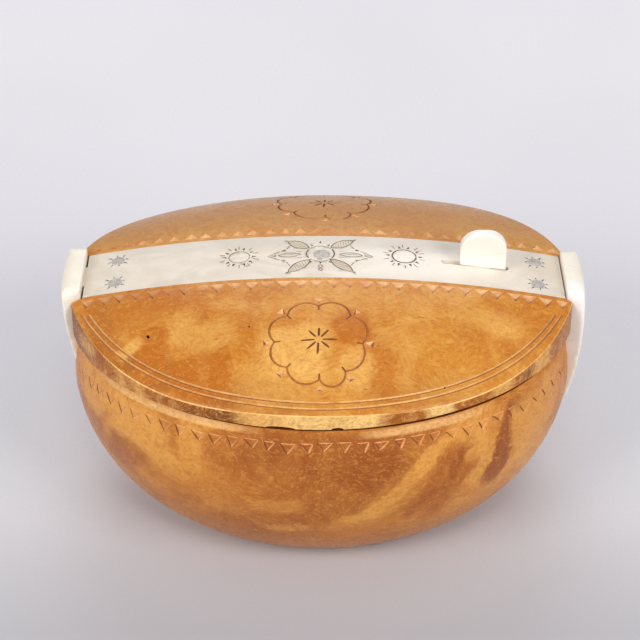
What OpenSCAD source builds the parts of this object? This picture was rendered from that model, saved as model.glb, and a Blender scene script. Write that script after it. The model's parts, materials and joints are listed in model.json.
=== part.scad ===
// Oval carved wooden box with a domed lid, an antler band across the lid,
// an antler post at each end and a sliding bolt under the band.
// X runs along the box, Y to its back, Z up. Z = 0 is the foot of the bowl. Millimetres.

/* [Bowl] */
// Length of the bowl over its rim
rim_length = 145; // [136:1:154]
// Width of the bowl over its rim
rim_width = 114.5; // [106:0.5:122]
// Height from the foot to the rim
bowl_height = 61.5; // [58:0.5:66]
// Height of the widest ring
belly_height = 47; // [42:0.5:50]
// Radius of the side, seen from the front
belly_radius = 52; // [50:0.5:58]
// Thickness of the wall
wall = 7.5; // [6.5:0.25:8.5]
// Thickness of the floor
floor_thickness = 7; // [5:0.5:10]
// Rounding of the rim's outer edge
rim_round = 1.5; // [0.5:0.1:2.5]

/* [Lid] */
// How far the lid stands out past the rim at the front and the back
lid_overhang = 1.2; // [0.4:0.1:2]
// How far the lid's ears stand out past the rim at the two ends
end_overhang = 2; // [1:0.1:2.6]
// Gap between the lid and the rim
lid_gap = 0.35; // [0.3:0.05:0.6]
// Height of the lid's crown above the rim
lid_rise = 19.4; // [18:0.2:22]
// Thickness of the lid's edge at the front and the back
edge_thickness = 4.7; // [3.5:0.1:6]
// Extra fall of the two front shoulders beside the posts
front_shoulder_fall = 4.2; // [2:0.2:5]
// Extra fall of the back shoulder beside the left post
back_left_fall = 1.6; // [0:0.2:5]
// Extra fall of the back shoulder beside the right post
back_right_fall = 0.2; // [0:0.2:5]
// Rounding of the lid's upper edge
edge_round = 1; // [0.4:0.1:1.5]
// Depth of the hollow under the lid
hollow_depth = 9; // [5:0.5:10]
// Radius of the hollow under the lid
hollow_radius = 44; // [36:1:45]
// Depth of the flange that drops into the mouth
flange_depth = 4; // [2.5:0.25:6]
// Thickness of the flange
flange_thickness = 4; // [3:0.25:5]
// Clearance of the flange in the mouth
flange_clearance = 0.8; // [0.6:0.1:1.5]

/* [Band] */
// Width of the antler band
band_width = 22.5; // [20:0.5:24]
// Thickness of the band
band_thickness = 4.5; // [4:0.25:5]
// Fall of the band from its middle to the posts
band_fall = 7.3; // [6:0.1:8]
// Width of the tongue at the band's left end
tongue_width = 10; // [7:0.5:13]
// Thickness of the tongue
tongue_thickness = 2.5; // [2:0.1:2.8]
// Distance from the left post's face to the centre of the tongue's round nose
tongue_reach = 2.2; // [1.8:0.1:2.6]
// Running clearance of the round nose in its socket
nose_clearance = 0.08; // [0.05:0.01:0.1]
// How far the lid tips up on its tongue, in degrees
tilt_limit = 15; // [8:1:16]
// Gap between the lid and the left post
left_gap = 0.5; // [0.5:0.05:0.8]
// Gap between the lid and the right post
right_gap = 0.7; // [0.6:0.05:1]
// Gap between the band's right end and the right post
band_end_gap = 0.4; // [0.35:0.05:0.6]

/* [Posts] */
// How far the left post's inner face is let into the rim
left_post_inset = 2.5; // [1.5:0.1:4]
// How far the right post's inner face is let into the rim
right_post_inset = 1.3; // [0.8:0.1:4]
// Width of a post at its inner face
post_width = 22.8; // [21:0.2:25]
// Widening of each side of a post towards its outer face
post_flare = 2.8; // [1.5:0.1:3.5]
// Thickness of the left post at its thickest
left_post_thickness = 6.1; // [5.7:0.1:7.4]
// Thickness of the right post at its thickest
right_post_thickness = 6.1; // [5.7:0.1:7.4]
// Radius of a post's rounded outer face
post_face_r = 112; // [90:2:140]
// Height of the left post above the rim
left_post_rise = 15.5; // [14.5:0.1:20]
// Height of the right post above the rim
right_post_rise = 14.4; // [14:0.1:20]
// Length of a post below the rim
post_foot = 24; // [20:0.5:28]
// Height above the rim where the left post's face would stop leaning out
left_post_belly = 15; // [8:0.5:20]
// Height above the rim where the right post's face would stop leaning out
right_post_belly = 4.5; // [0:0.5:10]
// Rounding of a post's upper corners, seen from the end
post_corner = 5; // [3:0.5:7]
// Radius of the roll at a post's top
post_crown = 4.5; // [3.5:0.1:5.5]
// Distance of the roll's centre from a post's inner face
crown_set = 2.9; // [2.5:0.1:3.5]
// Clearance of the lid beside a post
ear_clearance = 0.45; // [0.4:0.05:0.8]
// Glue gap between a post and its groove
glue_gap = 0.05; // [0.03:0.01:0.1]

/* [Lock] */
// Distance from the right post's face to the middle of the thumb tab
tab_place = 24; // [22:0.2:26]
// Width of the thumb tab
tab_width = 13.6; // [11:0.2:15]
// Height of the thumb tab
tab_height = 11.6; // [9:0.2:14]
// Thickness of the thumb tab
tab_thickness = 3.4; // [2.6:0.1:4.5]
// Rounding of the tab's upper corners
tab_corner = 5.6; // [3:0.2:6.4]
// Length of the tab's neck
neck_length = 6; // [5:0.5:7]
// Distance from the tab's middle to the neck's left end
neck_set = 4; // [3:0.25:5]
// Thickness of the tab's neck
neck_thickness = 1.6; // [1.2:0.1:2]
// Width of the sliding bolt
bolt_width = 8.5; // [6:0.5:8.5]
// Thickness of the sliding bolt
bolt_thickness = 3.2; // [2.6:0.1:3.6]
// Length of the bolt behind the tab's neck
bolt_tail = 2; // [1:0.25:4]
// Thickness of bolt left under the neck's tenon
tenon_floor = 0.8; // [0.5:0.1:1.2]
// How far the bolt draws back from the photographed place
bolt_draw = 7; // [5:0.5:7.5]
// How far the bolt pushes on into the right post
bolt_throw = 4.5; // [3.5:0.25:5]
// Gap between the bolt's end and the right post
bolt_gap = 0.4; // [0.3:0.05:0.6]
// Sliding clearance round the bolt and the neck
slide_clearance = 0.25; // [0.2:0.05:0.4]
// Clearance of the bolt in the right post's mortise
mortise_clearance = 0.4; // [0.3:0.05:0.6]

/* [Pins and pegs] */
// Radius of a band pin's head
pin_head = 2; // [1.5:0.05:2.2]
// Radius of the middle pin's head
middle_pin_head = 2.35; // [1.8:0.05:2.6]
// Radius of a band pin's shank
pin_shank = 0.9; // [0.6:0.05:1]
// Thickness of a band pin's head
pin_head_thickness = 1; // [0.6:0.1:1.5]
// Length of a band pin
pin_length = 9.5; // [8:0.5:11]
// Distance from the left post's face to the left pair of pins
left_pin_reach = 9.6; // [7:0.2:13]
// Distance from the right post's face to the right pair of pins
right_pin_reach = 8; // [5:0.2:10]
// Distance between the two pins of a pair
pin_spacing = 11.6; // [11.4:0.2:14]
// Distance of the middle pin behind the band's centre line
middle_pin_offset = 1.2; // [0:0.2:3]
// Radius of a post's peg
peg_radius = 1.5; // [1:0.1:2]
// How far a peg runs into the wall behind its post
peg_bite = 2.5; // [1.5:0.1:3.5]
// Distance between the two pegs of a post
peg_spacing = 9; // [6:0.5:11]
// Gap round a pin or a peg
pin_gap = 0.02; // [0.01:0.01:0.05]

/* [Hidden] */
$fn = 96;
wood = "#c98a3c";
antler = "#ece6d8";
metal = "#8f9aa3";
far = 200;
clear_cut = 10;
overrun = 1;
spare = 0.01;

// Bowl: the side is an arc about a point inside the bowl, squeezed to an oval
rim_a = rim_length / 2;
squeeze = rim_width / rim_length;
rim_over_belly = bowl_height - belly_height;
side_x = rim_a - sqrt(pow(belly_radius, 2) - pow(rim_over_belly, 2));
hollow_r = belly_radius - wall;
mouth_a = side_x + sqrt(pow(hollow_r, 2) - pow(rim_over_belly, 2));
mouth_b = mouth_a * squeeze;

// Lid: outline, crown arch along the box and the fall to the front and the back
lid_a = rim_a + end_overhang;
lid_b = rim_width / 2 + lid_overhang;
lid_z = bowl_height + lid_gap;
crown_z = bowl_height + lid_rise;
left_in = rim_a - left_post_inset;
right_in = rim_a - right_post_inset;
band_half = (left_in + right_in) / 2;
arch_r = (pow(band_half, 2) + pow(band_fall, 2)) / (2 * band_fall);
arch_z = crown_z - arch_r;
slope_run = lid_b - band_width / 2;
slope_fall = lid_rise - lid_gap - edge_thickness;
slope_r = (pow(slope_run, 2) + pow(slope_fall, 2)) / (2 * slope_fall);
shoulder_x = 0.55 * lid_a;
shoulder_u = 0.84 * lid_b - band_width / 2;
lid_rings = 9;
lid_sectors = 96;
round_steps = 2;

// Tongue: its round nose is the axis that the lid tips about
nose_r = tongue_thickness / 2;
socket_r = nose_r + nose_clearance;
hinge_x = -(left_in + tongue_reach);
band_end_z = arch_z + sqrt(pow(arch_r, 2) - pow(left_in, 2));
hinge_z = band_end_z - nose_r;
tongue_root = 2;
relief_start = 1;
relief_run = 1.5;
relief_rise = 0.6;

// Posts
post_bottom = bowl_height - post_foot;
peg_middle_z = bowl_height - post_foot / 2;

// Lock: the bolt slides along the band's slope at the tab
tab_x = right_in - tab_place;
slide_angle = asin(tab_x / arch_r);
slide_z = arch_z + sqrt(pow(arch_r, 2) - pow(tab_x, 2));
bolt_run = tab_place / cos(slide_angle);
bolt_sag = pow(bolt_run, 2) / (2 * (arch_r - band_thickness));
bolt_top = -(band_thickness + bolt_sag + slide_clearance);
bolt_bottom = bolt_top - bolt_thickness;
nose_u = (tab_place - bolt_gap - bolt_top * sin(slide_angle)) / cos(slide_angle);
neck_left = -neck_set;
neck_right = neck_left + neck_length;
tail_u = neck_left - bolt_tail;
tenon_depth = bolt_thickness - tenon_floor;
tab_lift = 0.2;

// Pairs of band pins, set off from the posts
left_pin_x = left_pin_reach - left_in;
right_pin_x = right_in - right_pin_reach;

// Place of a point of the bolt's own frame: along its slide, and up from the band's face
function slide_x(u, w) = tab_x + u * cos(slide_angle) + w * sin(slide_angle);
function slide_height(u, w) = slide_z - u * sin(slide_angle) + w * cos(slide_angle);

// How far out a post's outer face lies at a height
function post_face(inner, thick, belly, z) =
    inner + thick - post_face_r + sqrt(pow(post_face_r, 2) - pow(z - bowl_height - belly, 2));

function arch_top(x) = arch_z + sqrt(pow(arch_r, 2) - x * x);

// Height of the lid's upper face: the crown's arch, less the fall to the edge and the shoulders
function lid_top(x, y) =
    let (
        u = max(abs(y) - band_width / 2, 0),
        fall = slope_r - sqrt(slope_r * slope_r - u * u),
        back = x < 0 ? back_left_fall : back_right_fall,
        most = y < 0 ? front_shoulder_fall : back,
        shoulder = most * pow(x / shoulder_x, 2) * pow(u / shoulder_u, 1.5)
    )
    arch_top(x) - fall - shoulder;

function oval(a, b, turn) = [a * cos(turn), b * sin(turn)];

// One ring of the lid's skin, drawn in from the outline and dropped below the upper face
function lid_ring(share, inset, drop) = [
    for (i = [0:lid_sectors - 1])
        let (p = share * oval(lid_a - inset, lid_b - inset, 360 * i / lid_sectors))
        [p[0], p[1], lid_top(p[0], p[1]) - drop]
];

// A band of triangles between two rings of the skin
function ring_faces(lower, upper) = [
    for (i = [0:lid_sectors - 1])
        let (j = (i + 1) % lid_sectors)
        each [
            [lower + i, upper + i, upper + j],
            [lower + i, upper + j, lower + j]
        ]
];

// The lid's outer form, from its flat underside to its crown
module lid_form() {
    foot = [for (p = lid_ring(1, 0, 0)) [p[0], p[1], lid_z]];
    turn = [for (k = [0:round_steps]) 90 * k / round_steps];
    edge = [for (t = turn) each lid_ring(1, edge_round * (1 - cos(t)), edge_round * (1 - sin(t)))];
    skin = [for (k = [lid_rings - 1:-1:1]) each lid_ring(k / lid_rings, edge_round, 0)];
    crown = [[0, 0, lid_top(0, 0)]];
    points = concat(foot, edge, skin, crown);
    rings = 1 + len(turn) + lid_rings - 1;
    last = (rings - 1) * lid_sectors;
    sides = [for (k = [0:rings - 2]) each ring_faces(k * lid_sectors, (k + 1) * lid_sectors)];
    cap = [for (i = [0:lid_sectors - 1]) [last + i, rings * lid_sectors, last + (i + 1) % lid_sectors]];
    base = [[for (i = [0:lid_sectors - 1]) i]];
    polyhedron(points, concat(sides, cap, base), convexity = 4);
}

module oval_cylinder(a, b, h) {
    scale([1, b / a, 1]) cylinder(r = a, h = h);
}

// Half of the bowl's section, out to an arc of the given radius
module bowl_section(r, low, high) {
    intersection() {
        union() {
            translate([side_x, belly_height]) circle(r);
            translate([0, low]) square([side_x, high - low]);
        }
        translate([0, low]) square([far, high - low]);
    }
}

module rim_edge() {
    translate([rim_a - rim_round, bowl_height - rim_round]) difference() {
        square(3 * rim_round);
        circle(rim_round);
    }
}

module bowl_form() {
    difference() {
        scale([1, squeeze, 1]) rotate_extrude() difference() {
            bowl_section(belly_radius, -overrun, bowl_height);
            rim_edge();
        }
        translate([-far / 2, -far / 2, -far]) cube(far);
    }
}

module bowl_hollow() {
    scale([1, squeeze, 1]) rotate_extrude()
        bowl_section(hollow_r, floor_thickness, bowl_height + spare);
}

// Plan of a post at the right end, wider at its outer face, grown by a clearance
module post_plan(inner, thick, side, gap) {
    half = post_width / 2 + side;
    reach = inner + thick + clear_cut;
    grow = post_flare * (reach - inner) / thick;
    back = post_flare * gap / thick;
    polygon([
        [inner - gap, -half + back], [reach, -half - grow],
        [reach, half + grow], [inner - gap, half - back]
    ]);
}

// Outline of a post seen from the front, with its top rolled over towards the outside
module post_side(inner, top) {
    low = post_bottom - overrun;
    translate([0, low]) square([far, top - post_crown - low]);
    translate([0, low]) square([inner + crown_set, top - low]);
    translate([inner + crown_set, top - post_crown]) circle(post_crown);
}

// Outline of a post seen from the end, with its two upper corners rounded
module post_front(top) {
    half = post_width / 2 + post_flare + overrun;
    corner_y = half - overrun - post_corner;
    low = post_bottom - overrun;
    union() {
        translate([-half, low]) square([2 * half, top - post_corner - low]);
        translate([-corner_y, low]) square([2 * corner_y, top - low]);
        for (s = [-1, 1]) translate([s * corner_y, top - post_corner]) circle(post_corner);
    }
}

// A post without its socket, at the right end
module post_form(inner, thick, belly, rise) {
    top = bowl_height + rise;
    intersection() {
        translate([inner + thick - post_face_r, 0, bowl_height + belly]) rotate([0, 0, 90])
            sphere(post_face_r, $fn = 360);
        translate([0, 0, post_bottom]) linear_extrude(post_foot + rise) post_plan(inner, thick, 0, 0);
        translate([inner - overrun, 0, 0]) rotate([90, 0, 90]) linear_extrude(far) post_front(top);
        translate([0, far / 2, 0]) rotate([90, 0, 0]) linear_extrude(far) post_side(inner, top);
    }
}

// Groove that holds a post in the bowl's end
module post_groove(inner, thick) {
    translate([0, 0, post_bottom - glue_gap]) linear_extrude(far) post_plan(inner, thick, glue_gap, glue_gap);
}

// A peg through a post into the wall, flush with the post's outer face
module post_peg(inner, thick, belly, z, gap) {
    root = inner - peg_bite;
    length = post_face(inner, thick, belly, z) - root - pin_gap;
    translate([root - gap, 0, z]) rotate([40, 0, 0]) rotate([0, 90, 0])
        cylinder(r = peg_radius + gap, h = length + (gap > 0 ? thick : 0));
}

// Holes for the two pegs of a post, one over the other
module peg_holes(inner, thick, belly) {
    for (k = [-1, 1]) post_peg(inner, thick, belly, peg_middle_z + k * peg_spacing / 2, pin_gap);
}

// Something placed in the bolt's own frame: along its slide, and up from the band's face
module on_slide() {
    translate([tab_x, 0, slide_z]) rotate([0, slide_angle, 0]) children();
}

module slide_block(u0, u1, half, w0, w1) {
    on_slide() translate([u0, -half, w0]) cube([u1 - u0, 2 * half, w1 - w0]);
}

// A nail through the band, square to its upper face
module band_pin(x, y, head, gap) {
    translate([0, y, arch_z]) rotate([0, asin(x / arch_r), 0]) {
        translate([0, 0, arch_r - pin_length - gap]) cylinder(r = pin_shank + gap, h = pin_length);
        translate([0, 0, arch_r - pin_head_thickness - gap])
            cylinder(r = head + gap, h = pin_head_thickness + (gap > 0 ? clear_cut : 0));
    }
}

module all_band_pins(gap) {
    for (x = [left_pin_x, right_pin_x], y = [-pin_spacing / 2, pin_spacing / 2])
        band_pin(x, y, pin_head, gap);
    band_pin(0, middle_pin_offset, middle_pin_head, gap);
}

// The arched slab that the band is cut from
module arch_slab(top_gap, under_gap) {
    translate([0, far / 2, arch_z]) rotate([90, 0, 0]) difference() {
        cylinder(r = arch_r + top_gap, h = far, $fn = 180);
        translate([0, 0, -far / 2])
            cylinder(r = arch_r - band_thickness - under_gap, h = 2 * far, $fn = 180);
    }
}

module band_blank(side, top_gap, under_gap) {
    left = left_in - left_gap;
    right = right_in - band_end_gap;
    intersection() {
        arch_slab(top_gap, under_gap);
        translate([-left, -band_width / 2 - side, crown_z - 4 * band_fall])
            cube([left + right, band_width + 2 * side, 8 * band_fall]);
    }
}

// The slot that the tab's neck slides in, with round ends
module neck_slot() {
    half = neck_thickness / 2 + slide_clearance;
    u0 = neck_left - bolt_draw - slide_clearance;
    u1 = neck_right + bolt_throw + slide_clearance;
    on_slide() translate([0, 0, -2 * band_thickness]) {
        translate([u0, -half, 0]) cube([u1 - u0, 2 * half, 4 * band_thickness]);
        for (u = [u0, u1]) translate([u, 0, 0]) cylinder(r = half, h = 4 * band_thickness);
    }
}

module tongue() {
    root = left_in - left_gap - tongue_root;
    translate([hinge_x, tongue_width / 2, hinge_z]) rotate([90, 0, 0]) cylinder(r = nose_r, h = tongue_width);
    translate([hinge_x, -tongue_width / 2, hinge_z - nose_r])
        cube([-root - hinge_x, tongue_width, tongue_thickness]);
}

// Socket for the tongue: a round seat with a mouth that opens upwards
module tongue_socket() {
    half = tongue_width / 2 + slide_clearance;
    lip = socket_r + nose_clearance;
    mouth = tongue_reach + overrun;
    rise = mouth * tan(tilt_limit) + nose_clearance;
    translate([hinge_x, half, hinge_z]) rotate([90, 0, 0]) {
        cylinder(r = socket_r, h = 2 * half);
        linear_extrude(2 * half)
            polygon([[0, 0], [nose_r / 4, -lip], [mouth, -lip], [mouth, lip + rise], [0, lip]]);
    }
}

// Level mortise in the right post that takes the sloping bolt
module bolt_mortise() {
    half = bolt_width / 2 + mortise_clearance;
    low = slide_height(nose_u + bolt_throw, bolt_bottom) - mortise_clearance;
    high = slide_height(nose_u, bolt_top) + mortise_clearance;
    end = slide_x(nose_u + bolt_throw, bolt_top) + mortise_clearance;
    start = right_in - overrun;
    translate([start, -half, low]) cube([end - start, 2 * half, high - low]);
}

module bowl() {
    color(wood) difference() {
        bowl_form();
        bowl_hollow();
        mirror([1, 0, 0]) {
            post_groove(left_in, left_post_thickness);
            peg_holes(left_in, left_post_thickness, left_post_belly);
        }
        post_groove(right_in, right_post_thickness);
        peg_holes(right_in, right_post_thickness, right_post_belly);
    }
}

module left_post() {
    color(antler) difference() {
        mirror([1, 0, 0]) post_form(left_in, left_post_thickness, left_post_belly, left_post_rise);
        tongue_socket();
        mirror([1, 0, 0]) peg_holes(left_in, left_post_thickness, left_post_belly);
    }
}

module right_post() {
    color(antler) difference() {
        post_form(right_in, right_post_thickness, right_post_belly, right_post_rise);
        bolt_mortise();
        peg_holes(right_in, right_post_thickness, right_post_belly);
    }
}

module left_upper_peg() {
    z = peg_middle_z + peg_spacing / 2;
    color(antler) mirror([1, 0, 0]) post_peg(left_in, left_post_thickness, left_post_belly, z, 0);
}

module left_lower_peg() {
    z = peg_middle_z - peg_spacing / 2;
    color(antler) mirror([1, 0, 0]) post_peg(left_in, left_post_thickness, left_post_belly, z, 0);
}

module right_upper_peg() {
    z = peg_middle_z + peg_spacing / 2;
    color(antler) post_peg(right_in, right_post_thickness, right_post_belly, z, 0);
}

module right_lower_peg() {
    z = peg_middle_z - peg_spacing / 2;
    color(antler) post_peg(right_in, right_post_thickness, right_post_belly, z, 0);
}

module flange() {
    a = mouth_a - flange_clearance;
    b = mouth_b - flange_clearance;
    low = bowl_height - flange_depth;
    translate([0, 0, low]) difference() {
        oval_cylinder(a, b, flange_depth + lid_gap + overrun);
        translate([0, 0, -clear_cut])
            oval_cylinder(a - flange_thickness, b - flange_thickness, flange_depth + 3 * clear_cut);
    }
}

// Dished hollow in the lid's underside
module lid_hollow() {
    ball = (pow(hollow_radius, 2) + pow(hollow_depth, 2)) / (2 * hollow_depth);
    translate([0, 0, lid_z + hollow_depth - ball]) sphere(ball);
}

// Notch in the lid's end that a post stands in
module lid_notch(inner, thick, gap) {
    translate([0, 0, bowl_height - clear_cut]) linear_extrude(far)
        post_plan(inner, thick, ear_clearance, gap);
}

// Sloping cut that lets the ears at the tongue's end dip while the lid tips
module ear_relief() {
    dip = atan(relief_rise / relief_run);
    translate([hinge_x + relief_start, -far / 2, lid_z]) rotate([0, dip, 0])
        translate([-far, 0, -far]) cube(far);
}

module lid() {
    color(wood) difference() {
        union() {
            lid_form();
            flange();
        }
        lid_hollow();
        lid_notch(right_in, right_post_thickness, right_gap);
        mirror([1, 0, 0]) lid_notch(left_in, left_post_thickness, left_gap);
        ear_relief();
        band_blank(glue_gap, clear_cut, glue_gap);
        slide_block(
            tail_u - bolt_draw - 2 * slide_clearance, nose_u + clear_cut, bolt_width / 2 + slide_clearance,
            bolt_bottom - slide_clearance, bolt_top + bolt_thickness
        );
        all_band_pins(pin_gap);
    }
}

module lid_band() {
    color(antler) difference() {
        union() {
            band_blank(0, 0, 0);
            tongue();
        }
        neck_slot();
        all_band_pins(pin_gap);
    }
}

module left_back_pin() {
    color(metal) band_pin(left_pin_x, pin_spacing / 2, pin_head, 0);
}

module left_front_pin() {
    color(metal) band_pin(left_pin_x, -pin_spacing / 2, pin_head, 0);
}

module middle_pin() {
    color(metal) band_pin(0, middle_pin_offset, middle_pin_head, 0);
}

module right_back_pin() {
    color(metal) band_pin(right_pin_x, pin_spacing / 2, pin_head, 0);
}

module right_front_pin() {
    color(metal) band_pin(right_pin_x, -pin_spacing / 2, pin_head, 0);
}

module neck(gap) {
    slide_block(
        neck_left - gap, neck_right + gap, neck_thickness / 2 + gap,
        bolt_top - tenon_depth - gap, tab_lift + overrun
    );
}

module lock_bolt() {
    color(antler) difference() {
        slide_block(tail_u, nose_u, bolt_width / 2, bolt_bottom, bolt_top);
        neck(pin_gap);
    }
}

// Upright outline of the tab with round upper corners
module tab_outline() {
    half = tab_width / 2;
    corner = half - tab_corner;
    translate([-half, -tab_height]) square([tab_width, 2 * tab_height - tab_corner]);
    translate([-corner, 0]) square([2 * corner, tab_height]);
    for (s = [-1, 1]) translate([s * corner, tab_height - tab_corner]) circle(tab_corner);
}

module thumb_tab() {
    color(antler) union() {
        difference() {
            translate([tab_x, tab_thickness / 2, slide_z]) rotate([90, 0, 0])
                linear_extrude(tab_thickness) tab_outline();
            slide_block(-far, far, far, -far, tab_lift);
        }
        neck(0);
    }
}

bowl();
left_post();
right_post();
left_upper_peg();
left_lower_peg();
right_upper_peg();
right_lower_peg();
lid();
lid_band();
left_back_pin();
left_front_pin();
middle_pin();
right_back_pin();
right_front_pin();
lock_bolt();
thumb_tab();
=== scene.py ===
"""An oval lidded box of curly wood, with antler posts, an engraved antler band and a sliding lock."""
import json
import math

import bmesh
import bpy
from mathutils import Matrix, Vector


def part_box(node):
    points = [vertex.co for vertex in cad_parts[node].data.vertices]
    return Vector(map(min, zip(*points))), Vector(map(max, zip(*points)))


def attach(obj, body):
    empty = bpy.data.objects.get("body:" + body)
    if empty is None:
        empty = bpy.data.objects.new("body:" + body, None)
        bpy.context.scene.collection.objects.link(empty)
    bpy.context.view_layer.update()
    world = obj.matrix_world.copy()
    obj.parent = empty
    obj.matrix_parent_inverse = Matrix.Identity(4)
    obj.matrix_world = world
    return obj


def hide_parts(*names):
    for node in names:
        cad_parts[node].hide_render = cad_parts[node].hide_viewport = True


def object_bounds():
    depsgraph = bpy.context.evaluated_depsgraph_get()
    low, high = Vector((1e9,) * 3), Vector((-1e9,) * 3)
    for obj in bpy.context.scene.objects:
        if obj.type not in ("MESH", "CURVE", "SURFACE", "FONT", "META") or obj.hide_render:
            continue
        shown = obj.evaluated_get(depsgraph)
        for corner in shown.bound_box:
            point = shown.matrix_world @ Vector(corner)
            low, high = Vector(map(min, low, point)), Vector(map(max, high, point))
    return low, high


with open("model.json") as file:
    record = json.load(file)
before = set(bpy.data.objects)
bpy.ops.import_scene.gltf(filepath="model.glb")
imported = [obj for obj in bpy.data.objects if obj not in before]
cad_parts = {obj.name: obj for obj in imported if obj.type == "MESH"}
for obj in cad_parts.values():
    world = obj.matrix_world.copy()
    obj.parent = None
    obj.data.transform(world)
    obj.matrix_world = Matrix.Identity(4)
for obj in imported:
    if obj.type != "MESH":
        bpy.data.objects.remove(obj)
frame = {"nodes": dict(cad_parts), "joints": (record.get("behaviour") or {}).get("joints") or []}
cad_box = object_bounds()

# A millimetre, and how near corners merge
MM = 0.001
MERGE = 1e-6

# How far cutting shapes run past the wood, and the step that slopes are taken over
OVERCUT = 10 * MM
STEP = 0.1 * MM

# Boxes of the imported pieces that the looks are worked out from
bowl_low, bowl_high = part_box("bowl")
lid_low, lid_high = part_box("lid")
band_low, band_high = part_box("lid_band")
left_low, left_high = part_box("left_post")
right_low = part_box("right_post")[0]
bolt_low, bolt_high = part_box("lock_bolt")
joints = {j["name"]: j for j in frame["joints"]}
slide_axis = Vector(joints["bolt_slide"]["axis"])
hinge = Vector(joints["lid_tilt"]["pos_m"])

# Bowl
RIM_LENGTH = 145 * MM
BELLY_HEIGHT = 47 * MM
BELLY_RADIUS = 52 * MM
WALL = 7.5 * MM
FLOOR = 7 * MM
RIM_ROUND = 1.5 * MM
FOOT_ROUND = 1.2 * MM
GLUE_GAP = 0.05 * MM
HAIR = 0.01 * MM
rim_z = bowl_high.z
rim_half = RIM_LENGTH / 2
rim_over_belly = rim_z - BELLY_HEIGHT
side_x = rim_half - math.sqrt(BELLY_RADIUS ** 2 - rim_over_belly ** 2)
squeeze = (min(bowl_high.y, -bowl_low.y) - HAIR) / (side_x + BELLY_RADIUS)
hollow_radius = BELLY_RADIUS - WALL
mouth_half = side_x + math.sqrt(hollow_radius ** 2 - rim_over_belly ** 2)

# Lid and band
LID_GAP = 0.35 * MM
END_OVERHANG = 2 * MM
EDGE_THICKNESS = 4.7 * MM
EDGE_ROUND = 0.8 * MM
BAND_FALL = 7.3 * MM
BAND_THICKNESS = 4.5 * MM
FRONT_SHOULDER = 4.2 * MM
BACK_LEFT_SHOULDER = 1.6 * MM
BACK_RIGHT_SHOULDER = 0.2 * MM
HOLLOW_DEPTH = 9 * MM
HOLLOW_RADIUS = 44 * MM
FLANGE_DEPTH = 4 * MM
FLANGE_THICKNESS = 4 * MM
FLANGE_GAP = 0.8 * MM
FLANGE_ROOT = 1 * MM

# Slope under the lid's right half, where it lies a little open, and two small open places in front
FOOT_START = 6 * MM
FOOT_SLOPE = 0.02
FOOT_POCKETS = [(-11.7 * MM, 4.4 * MM), (4.3 * MM, 1.7 * MM)]
POCKET_DEPTH = 2.5 * MM
POCKET_HEIGHT = 0.6 * MM

# Sloping cut under the ears at the hinge, so that they can dip while the lid tips
RELIEF_START = 1 * MM
RELIEF_SLOPE = 0.6 / 1.5

# Form of the lid, worked out from the boxes
lid_a = rim_half + END_OVERHANG
lid_b = min(lid_high.y, -lid_low.y) - HAIR
lid_z = rim_z + LID_GAP
crown_z = band_high.z
left_face = left_high.x
right_face = right_low.x
band_width = band_high.y - band_low.y
band_half = (right_face - left_face) / 2
arch_r = (band_half ** 2 + BAND_FALL ** 2) / (2 * BAND_FALL)
arch_z = crown_z - arch_r
slope_run = lid_b - band_width / 2
slope_fall = crown_z - lid_z - EDGE_THICKNESS
slope_r = (slope_run ** 2 + slope_fall ** 2) / (2 * slope_fall)
shoulder_x = 0.55 * lid_a
shoulder_u = 0.84 * lid_b - band_width / 2

# Posts
POST_WIDTH = 22.8 * MM
POST_FLARE = 2.8 * MM
POST_THICKNESS = 6.1 * MM
EAR_GAP = 0.45 * MM
LEFT_GAP = 0.5 * MM
RIGHT_GAP = 0.7 * MM

# Bolt, its way under the band and its room in the right post
BOLT_THICKNESS = 3.2 * MM
WAY_LONGER = 26 * MM
WAY_WIDER = 0.5 * MM
WAY_DEPTH = 6.6 * MM
WAY_AHEAD = 5.5 * MM
WAY_LIFT = 1.6 * MM
MORTISE_GAP = 0.35 * MM
MORTISE_MOUTH = 1 * MM


def arch_top(x):
    """Height of the band's upper face."""
    return arch_z + math.sqrt(arch_r ** 2 - x ** 2)


def lid_top(x, y):
    """Height of the lid's upper face: the crown, less the fall to the edge and the shoulders."""
    u = max(abs(y) - band_width / 2, 0)
    fall = slope_r - math.sqrt(slope_r ** 2 - u ** 2)
    back = BACK_LEFT_SHOULDER if x < 0 else BACK_RIGHT_SHOULDER
    most = FRONT_SHOULDER if y < 0 else back
    return arch_top(x) - fall - most * (x / shoulder_x) ** 2 * (u / shoulder_u) ** 1.5


# Colours and nodes

def rgb(red, green, blue):
    """A colour as it shows on a screen, made linear for the nodes."""
    shares = [c / 255 for c in (red, green, blue)]
    return tuple(s / 12.92 if s <= 0.04045 else ((s + 0.055) / 1.055) ** 2.4 for s in shares) + (1.0,)


def node(tree, kind, inputs=None, **settings):
    """A node with its settings, and inputs given as plain values or as sockets to link."""
    made = tree.nodes.new(kind)
    for name, value in settings.items():
        setattr(made, name, value)
    for key, value in (inputs or {}).items():
        if isinstance(value, bpy.types.NodeSocket):
            tree.links.new(value, made.inputs[key])
        else:
            made.inputs[key].default_value = value
    return made


def maths(tree, operation, first, second=0.0):
    return node(tree, "ShaderNodeMath", {0: first, 1: second}, operation=operation).outputs[0]


def vectors(tree, operation, first, second, output=0):
    made = node(tree, "ShaderNodeVectorMath", {0: first, 1: second}, operation=operation)
    return made.outputs[output]


def blend_colour(tree, share, first, second, way="MIX"):
    mix = node(tree, "ShaderNodeMix", {0: share, 6: first, 7: second}, data_type="RGBA", blend_type=way)
    return mix.outputs[2]


def ease(tree, value, low, high, to_low=0.0, to_high=1.0):
    """A value eased from one range to another and held at its ends."""
    span = {"Value": value, 1: low, 2: high, 3: to_low, 4: to_high}
    return node(tree, "ShaderNodeMapRange", span, interpolation_type="SMOOTHSTEP").outputs[0]


def object_place(tree):
    return node(tree, "ShaderNodeTexCoord").outputs["Object"]


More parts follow.
